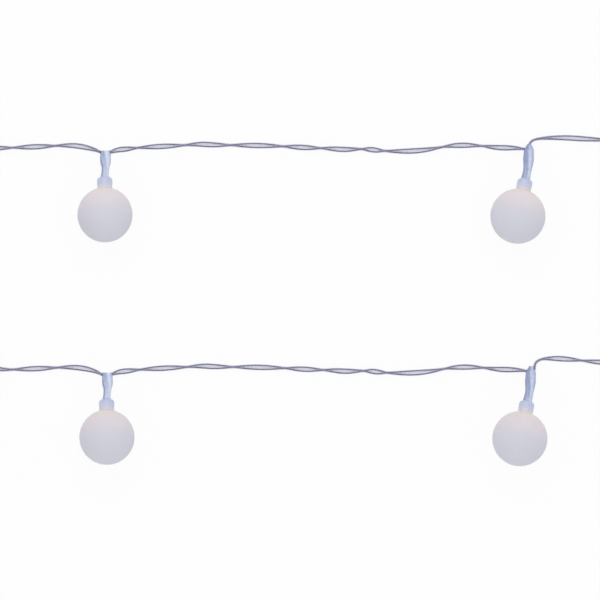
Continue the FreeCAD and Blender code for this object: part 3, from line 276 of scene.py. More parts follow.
waxy = add(
    tree, "ShaderNodeBsdfPrincipled",
    {"Roughness": 0.38, "IOR": 1.51, "Subsurface Weight": 0.35, "Subsurface Radius": (0.9, 0.95, 1.0),
     "Subsurface Scale": 0.0009},
    {"Base Color": tint.outputs["Color"], "Normal": drag.outputs["Normal"]},
)
add(tree, "ShaderNodeOutputMaterial", {}, {"Surface": waxy.outputs[0]})
collar = revolved(holder_profile, 64)
collar_marks = (collar[..., 2].ravel() - HOLDER_FOOT) / (HOLDER_TOP - HOLDER_FOOT)
points, faces = [], []
for lamp in LAMPS:
    faces += grid_faces(*collar.shape[:2], start=sum(map(len, points)), loop=True)
    points.append(placed(collar.reshape(-1, 3), lamp))
holders = new_piece("holders", np.concatenate(points), faces, [milky], marks=np.tile(collar_marks, len(LAMPS)))
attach(holders, "string_and_panel")
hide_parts("lamp_holders")

# The lamps
# A 3 mm clear epoxy lamp with two tinned steel legs sits in each holder, its dome inside the ball.
# The wires from its legs run up inside the sleeve.


def paint(node, material):
    """Gives a CAD node this material in every slot."""
    mesh = nodes[node].data
    mesh.materials.clear()
    mesh.materials.append(material)
    mesh.polygons.foreach_set("material_index", [0] * len(mesh.polygons))


def finish(name, colours, roughness, pattern_mm, bump_mm, **shader):
    """A plain moulded or rolled finish: two close colours in clouds of pattern_mm, the roughness a little higher
    or lower with them, and a grain a fifth as large. The noise scales are in patterns to the metre."""
    spread = 0.06
    material = bpy.data.materials.new(name)
    material.use_nodes = True
    tree = material.node_tree
    tree.nodes.clear()
    where = add(tree, "ShaderNodeTexCoord").outputs["Object"]
    clouds = add(tree, "ShaderNodeTexNoise", {"Scale": 1000 / pattern_mm, "Detail": 4.0}, {"Vector": where})
    tint = add(
        tree, "ShaderNodeMix", {"data_type": "RGBA", 6: linear(colours[0]), 7: linear(colours[1])},
        {0: clouds.outputs["Fac"]},
    )
    grain = add(tree, "ShaderNodeTexNoise", {"Scale": 5000 / pattern_mm, "Detail": 2.0}, {"Vector": where})
    worn = add(
        tree, "ShaderNodeMapRange", {"To Min": roughness - spread, "To Max": roughness + spread},
        {"Value": clouds.outputs["Fac"]},
    )
    bump = add(tree, "ShaderNodeBump", {"Strength": 0.4, "Distance": bump_mm * M}, {"Height": grain.outputs["Fac"]})
    surface = add(
        tree, "ShaderNodeBsdfPrincipled", shader,
        {"Base Color": tint.outputs[2], "Roughness": worn.outputs[0], "Normal": bump.outputs["Normal"]},
    )
    add(tree, "ShaderNodeOutputMaterial", {}, {"Surface": surface.outputs[0]})
    return material


# Cast epoxy, faintly yellow from the phosphor under the dome.
see_through = {"Transmission Weight": 0.7, "IOR": 1.53}
paint("leds", finish("clear cast epoxy", ("FFF3CF", "FFFBEF"), 0.12, 2, 0.01, **see_through))
# Drawn wire dipped in tin: pale and slightly dull.
tinned = finish("tinned steel wire", ("B9BCC2", "D5D7DB"), 0.32, 0.8, 0.01, Metallic=1.0)
paint("led_legs", tinned)
paint("battery_contacts", tinned)

# The shrink sleeves
# Thin clear polyolefin tube, shrunk with hot air over the soldered joint. It is wrinkled and pinched flat at the
# mouth, where the wires go in at both corners. Two of the ten are bent, with the mouth drawn to a V round one cable.
SLEEVE_FOOT, SLEEVE_R, KNEE, BEND = 10.5, 1.69, 18.9, math.radians(-7.2)
SLEEVE_ROWS, SLEEVE_COLUMNS, WRINKLES, GROOVE, MOUTH_DIP = 88, 56, 7, 0.12, 0.4
# Each outline is half the sleeve's width, in mm, at heights above the ball's centre.
STRAIGHT = [
    (SLEEVE_FOOT, SLEEVE_R), (HOLDER_TOP, SLEEVE_R), (15.3, 1.52), (18.1, 1.47), (19.0, 1.72), (19.8, 1.98),
    (22.0, 2.05), (24.64, 2.02),
]
BENT = [
    (SLEEVE_FOOT, SLEEVE_R), (HOLDER_TOP, SLEEVE_R), (17.5, 1.59), (20.0, 1.82), (22.5, 2.07), (25.0, 1.98),
    (26.0, 1.84), (27.9, 0.82),
]
sleeve_film = bpy.data.materials.new("clear shrink film")
# Glossy, see-through and pale blue, darker where it lies on the wires. Its colour also holds painted highlight and
# shade: a lighter band just right of its middle, darker towards its left side, and darker along both edges.
# The blotches are about 1.6 mm across and the creases 1.4 mm.
sleeve_film.use_nodes = True
tree = sleeve_film.node_tree
tree.nodes.clear()
where = add(tree, "ShaderNodeTexCoord").outputs["Object"]
wires_and_painted_light = add(tree, "ShaderNodeAttribute", {"attribute_name": "mark"}).outputs["Fac"]
blotch = add(tree, "ShaderNodeTexNoise", {"Scale": 620.0, "Detail": 3.0, "Distortion": 1.2}, {"Vector": where})
mix_up = add(tree, "ShaderNodeMath", {"operation": "MULTIPLY_ADD", 1: 0.6}, {0: blotch.outputs["Fac"], 2: wires_and_painted_light})
tint = add(tree, "ShaderNodeValToRGB", {}, {"Fac": mix_up.outputs[0]})
stops = [(0.3, "E3EBFA"), (0.7, "C0CDEB"), (1.0, "98A4C6")]
while len(tint.color_ramp.elements) < len(stops):
    tint.color_ramp.elements.new(0.5)
for stop, (place, colour) in zip(tint.color_ramp.elements, stops):
    stop.position = place
    stop.color = linear(colour)
creases = add(tree, "ShaderNodeTexNoise", {"Scale": 700.0, "Detail": 3.0, "Distortion": 0.6}, {"Vector": where})
crease = add(tree, "ShaderNodeBump", {"Strength": 0.6, "Distance": 0.00015}, {"Height": creases.outputs["Fac"]})
film = add(
    tree, "ShaderNodeBsdfPrincipled", {"Roughness": 0.24, "IOR": 1.5, "Alpha": 0.8},
    {"Base Color": tint.outputs["Color"], "Normal": crease.outputs["Normal"]},
)
add(tree, "ShaderNodeOutputMaterial", {}, {"Surface": film.outputs[0]})


def smooth(x):
    """0 below 0, 1 above 1 and 3 x^2 - 2 x^3 between."""
    x = np.clip(x, 0, 1)
    return x * x * (3 - 2 * x)


def sleeve_rings(bent, seed):
    """Rings round the stem's line. At height t along it and angle a, a point is (w cos a, h sin a), w from the
    outline and h from the sleeve's radius down to the flat mouth, less a groove between the wires and less
    wrinkles, a sum of sines. The mouth dips between its corners, and the inside follows 0.35 mm in. The mark is
    0.5 - 0.28 sin(1.9 u + 0.5) + 0.16 sin(6 u + 0.35 t + seed) + 0.2 u^6, with u = cos a, and 0.08 more on a
    bent sleeve or less on a straight one."""
    outline, lean, squash = (BENT, 0, 0.35) if bent else (STRAIGHT, 0.33, 0.05)
    length = outline[-1][0]
    outside = np.linspace(SLEEVE_FOOT, length, SLEEVE_ROWS)
    t = np.r_[SLEEVE_FOOT, outside, length + 0.02, length - 0.1, length - 1.4, length - 1.4]
    inset = np.r_[SLEEVE_R, np.zeros(SLEEVE_ROWS), 0.18, 0.35, 0.38, 3.0][:, None]
    a = np.arange(SLEEVE_COLUMNS) * 2 * np.pi / SLEEVE_COLUMNS
    fine = np.linspace(0, length + 0.1, 400)
    fine_turn = (BEND if bent else 0) * smooth((fine - KNEE + 1.5) / 3)
    turn = np.interp(t, fine, fine_turn)
    x = np.interp(t, fine, np.r_[0, np.cumsum(np.sin(fine_turn[1:]) * np.diff(fine))])
    z = np.interp(t, fine, np.r_[0, np.cumsum(np.cos(fine_turn[1:]) * np.diff(fine))])
    x = x + lean * smooth((t - 14.6) / 3.5)
    width = np.interp(t, *np.array(outline).T)[:, None]
    tall = SLEEVE_R - 0.12 * smooth((t - 15) / 8)[:, None] - squash * smooth((t - 25.5) / 2.4)[:, None]
    rng = np.random.default_rng(seed)
    free = smooth((t - HOLDER_TOP) / 1.5)[:, None]
    dent = GROOVE * np.exp(-((np.cos(a) / 0.28) ** 2)) * smooth((t - 13.8) / 2)[:, None]
    for _ in range(WRINKLES):
        across, along, phase = rng.integers(1, 5), rng.uniform(0.6, 2.2), rng.uniform(0, 6.28)
        dent = dent + free * rng.uniform(0.01, 0.035) * (1 - np.sin(across * a + along * t[:, None] + phase)) / 2
    width, tall = (np.maximum(size - dent - inset, 0) for size in (width, tall))
    dip = MOUTH_DIP * np.sin(a) ** 2 * smooth((t - length + 3) / 3)[:, None]
    ring = np.zeros((len(t), SLEEVE_COLUMNS, 3))
    ring[..., 0] = x[:, None] + width * np.cos(a) * np.cos(turn)[:, None] - dip * np.sin(turn)[:, None]
    ring[..., 1] = tall * np.sin(a)
    ring[..., 2] = z[:, None] - width * np.cos(a) * np.sin(turn)[:, None] - dip * np.cos(turn)[:, None]
    u = np.cos(a)
    # The mark is partly painted highlight and shade: the sine in u lightens a band right of the middle and darkens
    # the left side, and u^6 darkens both edges. The sine in 6 u and t follows the wires inside.
    mark = 0.5 - 0.28 * np.sin(1.9 * u + 0.5) + 0.16 * np.sin(6 * u + 0.35 * t[:, None] + seed) + 0.2 * u**6
    return ring, mark + (0.08 if bent else -0.08)


WRINKLE_SEEDS = [1, 2, 2, 1, 3, 4, 5, 6, 7, 8]  # the lower row is wrinkled like the upper one
points, faces, marks = [], [], []
for lamp, seed in zip(LAMPS, WRINKLE_SEEDS):
    rings, wire_and_light_marks = sleeve_rings(lamp[4], seed)
    part_points, part_faces = pole_capped(rings)
    start = sum(map(len, points))
    faces += [[i + start for i in face] for face in part_faces]
    points.append(placed(part_points, lamp))
    marks.append(np.r_[wire_and_light_marks[1:-1].ravel(), wire_and_light_marks[0, 0], wire_and_light_marks[-1, 0]])
sleeves = new_piece("sleeves", np.concatenate(points), faces, [sleeve_film], marks=np.concatenate(marks))
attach(sleeves, "string_and_panel")
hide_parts("shrink_sleeves")

# The wires
# The string's cable is two clear PVC wires of 1.1 mm, twisted together by machine and loosely, about 17 mm
# from one crossing to the next. Each has a thin core of tinned copper strands, drawn near black as painted shade:
# the dark line that a clear wire shows along its edge.
# A wire's drawn radius is a little under its real one, so that the two don't touch. The core lies off centre, away
# from the other wire.
WIRE_R, CORE_R, CORE_SHIFT, CABLE_D, PITCH = 0.55 * M, 0.24 * M, 0.17 * M, 2.2 * M, 17 * M
DRAWN_R, WIRE_SIDES, CORE_SIDES = WIRE_R * 0.985, 14, 8
clear_pvc = bpy.data.materials.new("clear soft PVC")
# Extruded, with a smooth, glossy skin. It has a lavender cast, a little paler in patches of about 4 mm, and the table
# and the core both show through it.
clear_pvc.use_nodes = True
tree = clear_pvc.node_tree
tree.nodes.clear()
where = add(tree, "ShaderNodeTexCoord").outputs["Object"]
blotch = add(tree, "ShaderNodeTexNoise", {"Scale": 260.0, "Detail": 2.0}, {"Vector": where})
pale = add(
    tree, "ShaderNodeMix", {"data_type": "RGBA", 6: linear("A6A6D0"), 7: linear("B8BBDE")},
    {0: blotch.outputs["Fac"]},
)
pvc = add(
    tree, "ShaderNodeBsdfPrincipled", {"Roughness": 0.18, "IOR": 1.53, "Specular IOR Level": 1.0, "Alpha": 0.3},
    {"Base Color": pale.outputs[2]},
)
add(tree, "ShaderNodeOutputMaterial", {}, {"Surface": pvc.outputs[0]})
# Seven hair-thin tinned copper strands, seen through the PVC and drawn near black to grey-violet, far darker than
# the metal: painted shade for the dark edge of a clear wire. Paler patches of about 7 mm are painted highlights,
# where the strands catch the light as the wire turns.
core_in_painted_shade = finish("tinned copper strands", ("07050F", "5E5B75"), 0.45, 7, 0.02)
paint("sleeve_wires", clear_pvc)


def route(name, points, shift=(0, 0)):
    """The cable's centreline: a quadratic NURBS spline with these points, in mm, as its control points."""
    data = bpy.data.curves.new(name, "CURVE")
    data.dimensions = "3D"
    data.resolution_u = 12
    spline = data.splines.new("NURBS")
    spline.points.add(len(points) - 1)
    p = np.array(points, float)
    p[:, :2] += shift
    spline.points.foreach_set("co", np.c_[p * M, np.ones(len(p))].ravel())
    spline.order_u = 3
    spline.use_endpoint_u = True
    spline_object = bpy.data.objects.new(name, data)
    bpy.context.scene.collection.objects.link(spline_object)
    line = bpy.data.meshes.new_from_object(spline_object)
    q = np.empty(len(line.vertices) * 3)
    line.vertices.foreach_get("co", q)
    bpy.data.objects.remove(spline_object)
    bpy.data.meshes.remove(line)
    return q.reshape(-1, 3)


def distances(path):
    """How far along the path each of its points is."""
    return np.r_[0, np.cumsum(np.linalg.norm(np.diff(path, axis=0), axis=1))]


def even(path, step):
    """The path as points an even distance apart."""
    s = distances(path)
    t = np.linspace(0, s[-1], int(s[-1] / step) + 2)
    return np.stack([np.interp(t, s, path[:, k]) for k in range(3)], -1)


def framed(line):
    """The level side and the upward normal at each point of a line, at right angles to it."""
    along = np.gradient(line, axis=0)
    along /= np.linalg.norm(along, axis=1)[:, None]
    side = np.cross(along, (0, 0, 1))
    side /= np.linalg.norm(side, axis=1)[:, None]
    return side, np.cross(side, along)


def filled(marks, seed):
    """Crossings along a cable, with more of them where two are over 1.5 pitches apart. Those are spaced by about a
    pitch, and each is moved along by up to 0.18 of it."""
    far_apart, stray = 1.5, 0.18
    rng = np.random.default_rng(seed)
    out = [marks[0]]
    for mark in marks[1:]:
        gap = mark - out[-1]
        count = max(int(round(gap / PITCH)), 1) if gap > far_apart * PITCH else 1
        cut = np.linspace(out[-1], mark, count + 1)[1:]
        cut[:-1] += rng.uniform(-stray, stray, count - 1) * PITCH
        out += cut.tolist()
    return out


def wire_pair(name, path, crossings, holds, step):
    """Two wires turning round the path: at s along it their centres are path +/- r (cos f side + sin f up).
    f gains half a turn from one crossing to the next, and none between a pair of holds."""
    line = even(path, step)
    s = distances(line)
    gain = np.array([0 if (a, b) in holds else 1 for a, b in zip(crossings[:-1], crossings[1:])])
    f = np.interp(s, crossings, np.pi * (0.5 + np.r_[0, np.cumsum(gain)]))
    side, up = framed(line)
    arm = WIRE_R * (np.cos(f)[:, None] * side + np.sin(f)[:, None] * up)
    points, faces, of_face = [], [], []
    for way in (1, -1):
        for index, (radius, sides, out) in enumerate(((DRAWN_R, WIRE_SIDES, 0), (CORE_R, CORE_SIDES, CORE_SHIFT))):
            middle = line + way * arm * (1 + out / WIRE_R)
            side_w, up_w = framed(middle)
            start = sum(map(len, points))
            a = np.arange(sides) * 2 * np.pi / sides
            ring = np.cos(a)[:, None] * side_w[:, None] + np.sin(a)[:, None] * up_w[:, None]
            points.append((middle[:, None] + radius * ring).reshape(-1, 3))
            last = start + (len(line) - 1) * sides
            new = [face[::-1] for face in grid_faces(len(line), sides, start)]
            new += [list(range(start, start + sides)), list(range(last + sides - 1, last - 1, -1))]
            faces += new
            of_face += [index] * len(new)
    return new_piece(name, np.concatenate(points), faces, [clear_pvc, core_in_painted_shade], of_face)


def lay_cable(name, replaced, points, seed, shift=(0, 0), seen=(), hold=None, lay="loose", step=0.5 * M):
    """No other crossing comes within 0.8 pitches of a hold."""
    clear_of_hold = 0.8 * PITCH
    path = route(name, points, shift)
    s = distances(path)
    marks = [0, *sorted(float(s[np.argmin(np.abs(path[:, 0] - x * M))]) for x in seen), float(s[-1])]
    crossings = filled(marks, seed)
    holds = set()
    if hold:
        near, far = crossings[0] + hold * M, crossings[-1] - hold * M
        inner = [c for c in crossings if near + clear_of_hold < c < far - clear_of_hold]
        holds = {(crossings[0], near), (far, crossings[-1])}
        crossings = [crossings[0], near, *inner, far, crossings[-1]]
    piece = wire_pair(name, path, crossings, holds, step)
    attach(piece, "string_and_panel")
    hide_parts(*replaced)
    return piece, dict(
        exit=path[0], length=float(s[-1]), diameter=CABLE_D, far_end="object", stiffness="limp", lay=lay,
        path=even(path, 0.8 * M),
    )


# Control points in mm, with their height above the table. The two rows follow the picture. The turn at its right,
# the way back at its left and the hairpins between the comb's lamps lie past its edges.
UPPER_ROW = [
    (118.45, 55.3, 2.25), (120.2, 56.1, 2), (122.3, 56.6, 1.6), (125.4, 56.9, 1.2), (130, 57.4, 1.1),
    (137.3, 57.8, 1.1), (145.6, 58.2, 1.1), (151.4, 58.7, 1.1), (158, 58.3, 1.1), (167.9, 58.25, 1.1),
    (179.5, 58, 1.1), (189.7, 57.4, 1.1), (198.4, 57.1, 1.1), (204.9, 56.6, 1.1), (211.5, 57, 1.1),
    (218.6, 56.1, 1.1), (228.2, 56, 1.1), (235.5, 56.7, 1.1), (241.3, 57.9, 1.1), (246.8, 58.3, 1.1),
    (253.7, 58.1, 1.1), (259.4, 57.4, 1.1), (263.8, 57.3, 1.3), (267.2, 57.2, 1.7), (270, 56.8, 2.2),
]
RIGHT_TURN = [
    (271.55, 56.7, 2.1), (271.6, 58, 1.85), (271.9, 59.1, 1.55), (272.8, 60, 1.3), (274.5, 60.55, 1.15),
    (277.3, 60.85, 1.1), (281.6, 61, 1.1), (286.4, 60.9, 1.1), (292.4, 60.5, 1.1), (298.6, 60.2, 1.1),
    (304.2, 59.2, 1.1), (309, 56.4, 1.1), (312.2, 51.4, 1.1), (313.6, 44, 1.1), (314, 34, 1.1), (313.5, 21, 1.1),
    (313.2, 7, 1.1), (313.7, -4, 1.1), (313, -12, 1.1), (309.8, -17.6, 1.1), (304.6, -20.4, 1.1),
    (298.6, -20.8, 1.1), (292.8, -20.3, 1.1), (287.1, -19.7, 1.1), (281.3, -19.3, 1.1),
    (277.4, -19.35, 1.1), (275.3, -19.8, 1.15), (274, -20.8, 1.35), (273.5, -22.1, 1.7), (273.5, -23.5, 2.1),
]
LOWER_LEFT = [
    (116.55, -25.4, 2.3), (115, -24.5, 2.1), (113.1, -23.8, 1.8), (110.5, -23.1, 1.4), (107.1, -22.6, 1.2),
    (103.1, -22.5, 1.1), (97.3, -22.8, 1.1), (88.7, -23.2, 1.1), (80.2, -23.5, 1.1), (75.4, -22.5, 1.1),
    (72.3, -19.6, 1.1), (71, -15, 1.1), (70.7, -6.6, 1.1), (71.1, 4, 1.1), (71.3, 14, 1.1),
    (71.4, 22, 1.1), (67, 26.4, 1.1), (60.8, 26.4, 1.1), (56.4, 22, 1.1), (56, 12.4, 1.1), (56.5, 1, 1.1),
    (56.9, -9, 1.1), (56.6, -16, 1.1), (56.25, -20.8, 1.1), (56.25, -23.2, 1.45), (56.25, -25.3, 2.2),
]
HAIRPIN = [
    (-1.15, -0.75, 2.2), (-1.15, 1.4, 1.45), (-1.2, 3.8, 1.1), (-1.7, 8.4, 1.1), (-2.6, 17, 1.1),
    (-3.1, 30, 1.1), (-3.2, 44, 1.1), (-2.9, 55.6, 1.1), (-3, 64.8, 1.1), (-8.3, 70.1, 1.1),
    (-15.7, 70.1, 1.1), (-21, 64.8, 1.1), (-21.1, 55, 1.1), (-20.8, 44, 1.1), (-20.9, 30, 1.1),
    (-21.4, 17, 1.1), (-22.3, 8.4, 1.1), (-22.8, 3.8, 1.1), (-22.85, 1.4, 1.45), (-22.85, -0.75, 2.2),
]
# x of the wires' crossings in the upper row, as seen in the picture.
ROW_CROSSINGS = [129.3, 146.8, 162.8, 182, 196.2, 210.8, 218.8, 240.2, 254.4]
LOWER_ROW = (0.7, -80.7)  # from the upper row to the lower one
COMB_MOUTH = -24.55  # y of the mouths of the comb's sleeves
lower_crossings = [x + LOWER_ROW[0] for x in ROW_CROSSINGS]
cords = [
    lay_cable("cable_a", ["cable_1_2"], UPPER_ROW, seed=1, seen=ROW_CROSSINGS),
    lay_cable("cable_b", ["cable_2_3"], RIGHT_TURN, seed=2, hold=5),
    lay_cable("cable_c", ["cable_3_4"], UPPER_ROW, seed=3, shift=LOWER_ROW, seen=lower_crossings),
    lay_cable("cable_d", ["cable_4_5"], LOWER_LEFT, seed=4, seen=[99.8, 84.2]),
]
for n in range(5, 10):
    shift = (COMB_X - COMB_STEP * (n - 5), COMB_MOUTH)
    cords.append(lay_cable(f"cable_{n}", [f"cable_{n}_{n + 1}"], HAIRPIN, seed=n, shift=shift, step=0.8 * M))

# The lead
# The same pair runs 1.5 m from the solar head to the first lamp. The length to spare is wound into a neat
# coil, four flat spirals on each other, and held by two plastic ties.
LEAD_TAIL = [
    (-202, 29, 7), (-198.2, 29, 7), (-193.4, 29.3, 6.2), (-187, 30.4, 3.9), (-180.4, 32.4, 1.8),
    (-172, 35.6, 1.1), (-163, 39.8, 1.1), (-154.4, 45, 1.1), (-147, 49.4, 1.1), (-140.6, 52.4, 1.4),
    (-133.4, 53.3375, 1.9),
]
LEAD_RUN = [
    (-119.4, 53.3375, 9.85), (-113.4, 53.9, 8.6), (-105.2, 54.9, 5.2), (-96.2, 55.5, 2.1), (-85, 56, 1.1),
    (-66, 56.3, 1.1), (-42, 55.4, 1.1), (-14, 55.1, 1.1), (15, 56.2, 1.1), (38, 57.4, 1.1),
    (56, 57.6, 1.1), (69, 57, 1.1), (79.1, 57.2, 1.1), (88, 57.5, 1.1), (96.6, 57.9, 1.1),
    (102.4, 58.2, 1.1), (106.4, 58.1, 1.2), (109.8, 57.6, 1.4), (112.4, 56.9, 1.8), (114.3, 56.4, 2.1),
    (115.85, 55.6, 2.3),
]
COIL_PITCH, COIL_MEAN, COIL_TURNS, COIL_LAYERS, COIL_Z = 2.65, 13.2, 14, 4, 1.9
COIL_CENTRE, COIL_CLIMB, COIL_POINTS = (-126, 35.5), 0.5, 24


def coil_turns():
    """Control points of the wound lead, in mm. Each layer is a flat spiral of 3.5 turns, wound in, out, in, out.
    The radius changes by one pitch a turn, the height by one pitch a layer within half a turn, and the angle runs
    clockwise."""
    each = COIL_TURNS / COIL_LAYERS
    t = np.arange(COIL_TURNS * COIL_POINTS + 1) / COIL_POINTS
    layer = np.minimum((t / each).astype(int), COIL_LAYERS - 1)
    inside = t - each * layer
    radius = COIL_MEAN + COIL_PITCH * (each / 2 - np.where(layer % 2 == 0, inside, each - inside))
    level = smooth((t[:, None] - each * np.arange(1, COIL_LAYERS) + COIL_CLIMB / 2) / COIL_CLIMB).sum(1)
    angle = np.pi / 2 - 2 * np.pi * t
    x, y = COIL_CENTRE[0] + radius * np.cos(angle), COIL_CENTRE[1] + radius * np.sin(angle)
    return np.stack([x, y, COIL_Z + COIL_PITCH * level], -1).tolist()


lead, facts = lay_cable(
    "lead", ["lead_tail", "lead_coil", "lead_run"], LEAD_TAIL + coil_turns() + LEAD_RUN, seed=20,
    seen=[83.5, 99.1], lay="coiled", step=1.0 * M,
)

# The coil ties
# Two white strips of polyethylene with a steel wire down the middle, bent tight round the turns and closed by
# twisting the ends together. One is at each side of the coil.
# Extruded polyethylene: white, half matt and a little uneven where it was bent.
white_strip = finish("white polyethylene strip", ("E6E7EA", "F4F4F2"), 0.4, 1.2, 0.06)
TIE_HALF, TIE_LOW, TIE_HIGH, TIE_CORNER, TIE_WIDE = 6.2, 0.45, 11.3, 2.5, 1.75
TIE_THIN, TIE_BULGE, TIE_BULGE_WIDE = 0.13, 0.28, 0.42
TAIL_WIDE, TAIL_THIN, TAIL_LONG, TAIL_TURNS, TAIL_RISE = 1.45, 0.35, 7.5, 1.3, 1.35


def tie_loop(middle):
    """A rounded rectangle in x and z with corners of one radius, and a strip section across it in y. Its outside
    stands out by half the strip plus a bulge over the steel wire, 0.13 + 0.28 exp(-(y / 0.42)^2), and its inside
    by -0.13."""
    low, high, r = TIE_LOW + TIE_CORNER, TIE_HIGH - TIE_CORNER, TIE_CORNER
    left, right = middle - TIE_HALF + r, middle + TIE_HALF - r
    line = np.r_[
        arc(r, 0, 90, 8, (right, high)), arc(r, 90, 180, 8, (left, high)), arc(r, 180, 270, 8, (left, low)),
        arc(r, 270, 360, 8, (right, low)),
    ]
    along = np.roll(line, -1, 0) - np.roll(line, 1, 0)
    outward = np.c_[along[:, 1], -along[:, 0]] / np.linalg.norm(along, axis=1)[:, None]
    y = np.linspace(-TIE_WIDE, TIE_WIDE, 17)
    upper = np.c_[y, TIE_THIN + TIE_BULGE * np.exp(-((y / TIE_BULGE_WIDE) ** 2))]
    section = np.r_[upper, np.c_[y[::-4], np.full(5, -TIE_THIN)]]
    spot = line[:, None] + outward[:, None] * section[None, :, 1:]
    across = np.broadcast_to(COIL_CENTRE[1] + section[:, 0], spot.shape[:2])
    return np.stack([spot[..., 0], across, spot[..., 1]], -1)


def tie_tail(middle, way):
    """The twisted ends: an oval of 1.45 by 0.35 mm in half widths that turns 1.3 times along a line of 7.5 mm. The
    line leaves the strip's top at the angle way and rises by 1.35 mm in its first third."""
    s, a = np.linspace(0, 1, 60)[:, None], np.arange(16) * 2 * np.pi / 16
    turn = 2 * np.pi * TAIL_TURNS * s
    wide, thin = (TAIL_WIDE - 0.2 * s) * np.cos(a), TAIL_THIN * np.sin(a)
    across, up = wide * np.cos(turn) - thin * np.sin(turn), wide * np.sin(turn) + thin * np.cos(turn)
    far = middle + TAIL_LONG * s * math.cos(way) - across * math.sin(way)
    side = COIL_CENTRE[1] + TAIL_LONG * s * math.sin(way) + across * math.cos(way)
    return np.stack([far, side, TIE_HIGH + TAIL_RISE * smooth(s / 0.3) + up], -1)


points, faces = [], []
for middle, way in ((COIL_CENTRE[0] - COIL_MEAN, 2.7), (COIL_CENTRE[0] + COIL_MEAN, -0.5)):
    for rings, loop in ((tie_loop(middle), True), (tie_tail(middle, way), False)):
        rows, columns = rings.shape[:2]
        start = sum(map(len, points))
        faces += grid_faces(rows, columns, start, loop)
        if not loop:
            faces += [list(range(start + columns - 1, start - 1, -1))]
            faces += [list(range(start + (rows - 1) * columns, start + rows * columns))]
        points.append(rings.reshape(-1, 3) * M)
ties = new_piece("ties", np.concatenate(points), faces, [white_strip])
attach(ties, "string_and_panel")
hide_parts("coil_ties")

# The lead boot
# A ribbed, tapered strain relief of soft black PVC, moulded on the lead. Its neck sits in the wall of the head,
# with a flange inside.
BOOT_Y, BOOT_Z, BOOT_THICK, BOOT_THIN, BOOT_BORE, BOOT_NECK = 29, 7, 3.4, 1.9, 1.15, 2.4
FLANGE_END, FLANGE_FACE, BOOT_WALL, BOOT_TIP, GROOVE_STEP = -215, -214, -212, -202, 1.6
GROOVE_CUT = ((-0.45, 0), (-0.4, 0.08), (-0.34, 0.4), (0.34, 0.4), (0.4, 0.08), (0.45, 0))  # along and deep, in mm


def boot_radius(x):
    """The taper from the head's wall to the boot's tip, a straight line between its two radii."""
    return BOOT_THICK - (BOOT_THICK - BOOT_THIN) * (x - BOOT_WALL) / (BOOT_TIP - BOOT_WALL)


grooves = [(boot_radius(x + along) - deep, x + along)
           for x in np.arange(BOOT_WALL + GROOVE_STEP, BOOT_TIP - 1, GROOVE_STEP) for along, deep in GROOVE_CUT]
boot_profile = np.r_[
    [(BOOT_BORE, FLANGE_END), (3.3, FLANGE_END), (BOOT_THICK, -214.9), (BOOT_THICK, -214.1), (3.3, FLANGE_FACE)],
    [(BOOT_NECK, FLANGE_FACE), (BOOT_NECK, BOOT_WALL), (3.3, BOOT_WALL), (boot_radius(-211.9), -211.9)],
    grooves, [(1.85, -202.1), (1.75, BOOT_TIP), (BOOT_BORE, BOOT_TIP)],
]
rings = revolved(boot_profile, 48)[..., [2, 0, 1]] + (0, BOOT_Y, BOOT_Z)
# Moulded soft PVC: matt black, with a fine grain.
soft_pvc = finish("soft black PVC", ("161616", "222223"), 0.55, 0.9, 0.03)
boot = new_piece("boot", rings.reshape(-1, 3) * M, grid_faces(*rings.shape[:2], loop=True), [soft_pvc])
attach(boot, "string_and_panel")
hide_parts("lead_boot")

# The solar head
# A two-part case of black ABS, screwed together over a foam gasket. The panel lies behind a clear cover, and the
# cell, board and buttons are inside. It stands off the string, at the far end of the lead.
# Injection moulded in a spark-eroded mould: dull black, with a fine, even grain.
black_abs = finish("textured black ABS", ("17181A", "242528"), 0.5, 1.8, 0.12)
for node in ("rear_cover", "front_bezel", "tilt_bracket", "ground_stake", "thumb_nut"):
    paint(node, black_abs)
# Foamed for the gasket and moulded for the buttons: matt, and a shade warmer than the case.
rubber = finish("soft rubber", ("1A1A1B", "28282A"), 0.66, 0.8, 0.02)
for node in ("gasket", "power_button", "mode_button"):
    paint(node, rubber)
CELL_STEP, FINGER_STEP, PANEL_X, PANEL_HALF_LONG, PANEL_HALF_WIDE = 6 * M, 1.8 * M, -245 * M, 27.2 * M, 36 * M
FINGER_HALF, BAR_HALF, CELL_HALF = 0.045, 0.05, 0.46  # half widths, as shares of a step
silicon = bpy.data.materials.new("silicon solar cells")
# Twelve strips of blue polycrystalline silicon, 6 mm wide, on a dark backing. Each has a printed silver bar along
# its middle, 0.6 mm wide, and fingers across it, 0.16 mm wide and 1.8 mm apart. The crystals are about 4 mm
# across. The bare backing shows between the strips and round them.
silicon.use_nodes = True
tree = silicon.node_tree
tree.nodes.clear()
where = add(tree, "ShaderNodeTexCoord").outputs["Object"]
crystals = add(tree, "ShaderNodeTexVoronoi", {"Scale": 250.0}, {"Vector": where})
tone = add(tree, "ShaderNodeSeparateXYZ", {}, {0: crystals.outputs["Color"]})
blue = add(
    tree, "ShaderNodeMix", {"data_type": "RGBA", 6: linear("0B1A47"), 7: linear("1C3A80")}, {0: tone.outputs[0]},
)
cells = add(
    tree, "ShaderNodeVectorMath", {"operation": "MULTIPLY", 1: (1 / FINGER_STEP, 1 / CELL_STEP, 0)}, {0: where},
)
cells = add(tree, "ShaderNodeVectorMath", {"operation": "FRACTION"}, {0: cells.outputs[0]})
cells = add(tree, "ShaderNodeVectorMath", {"operation": "SUBTRACT", 1: (0.5, 0.5, 0)}, {0: cells.outputs[0]})
cells = add(tree, "ShaderNodeVectorMath", {"operation": "ABSOLUTE"}, {0: cells.outputs[0]})
cells = add(tree, "ShaderNodeSeparateXYZ", {}, {0: cells.outputs[0]}).outputs
edge = add(tree, "ShaderNodeVectorMath", {"operation": "SUBTRACT", 1: (PANEL_X, 0, 0)}, {0: where})
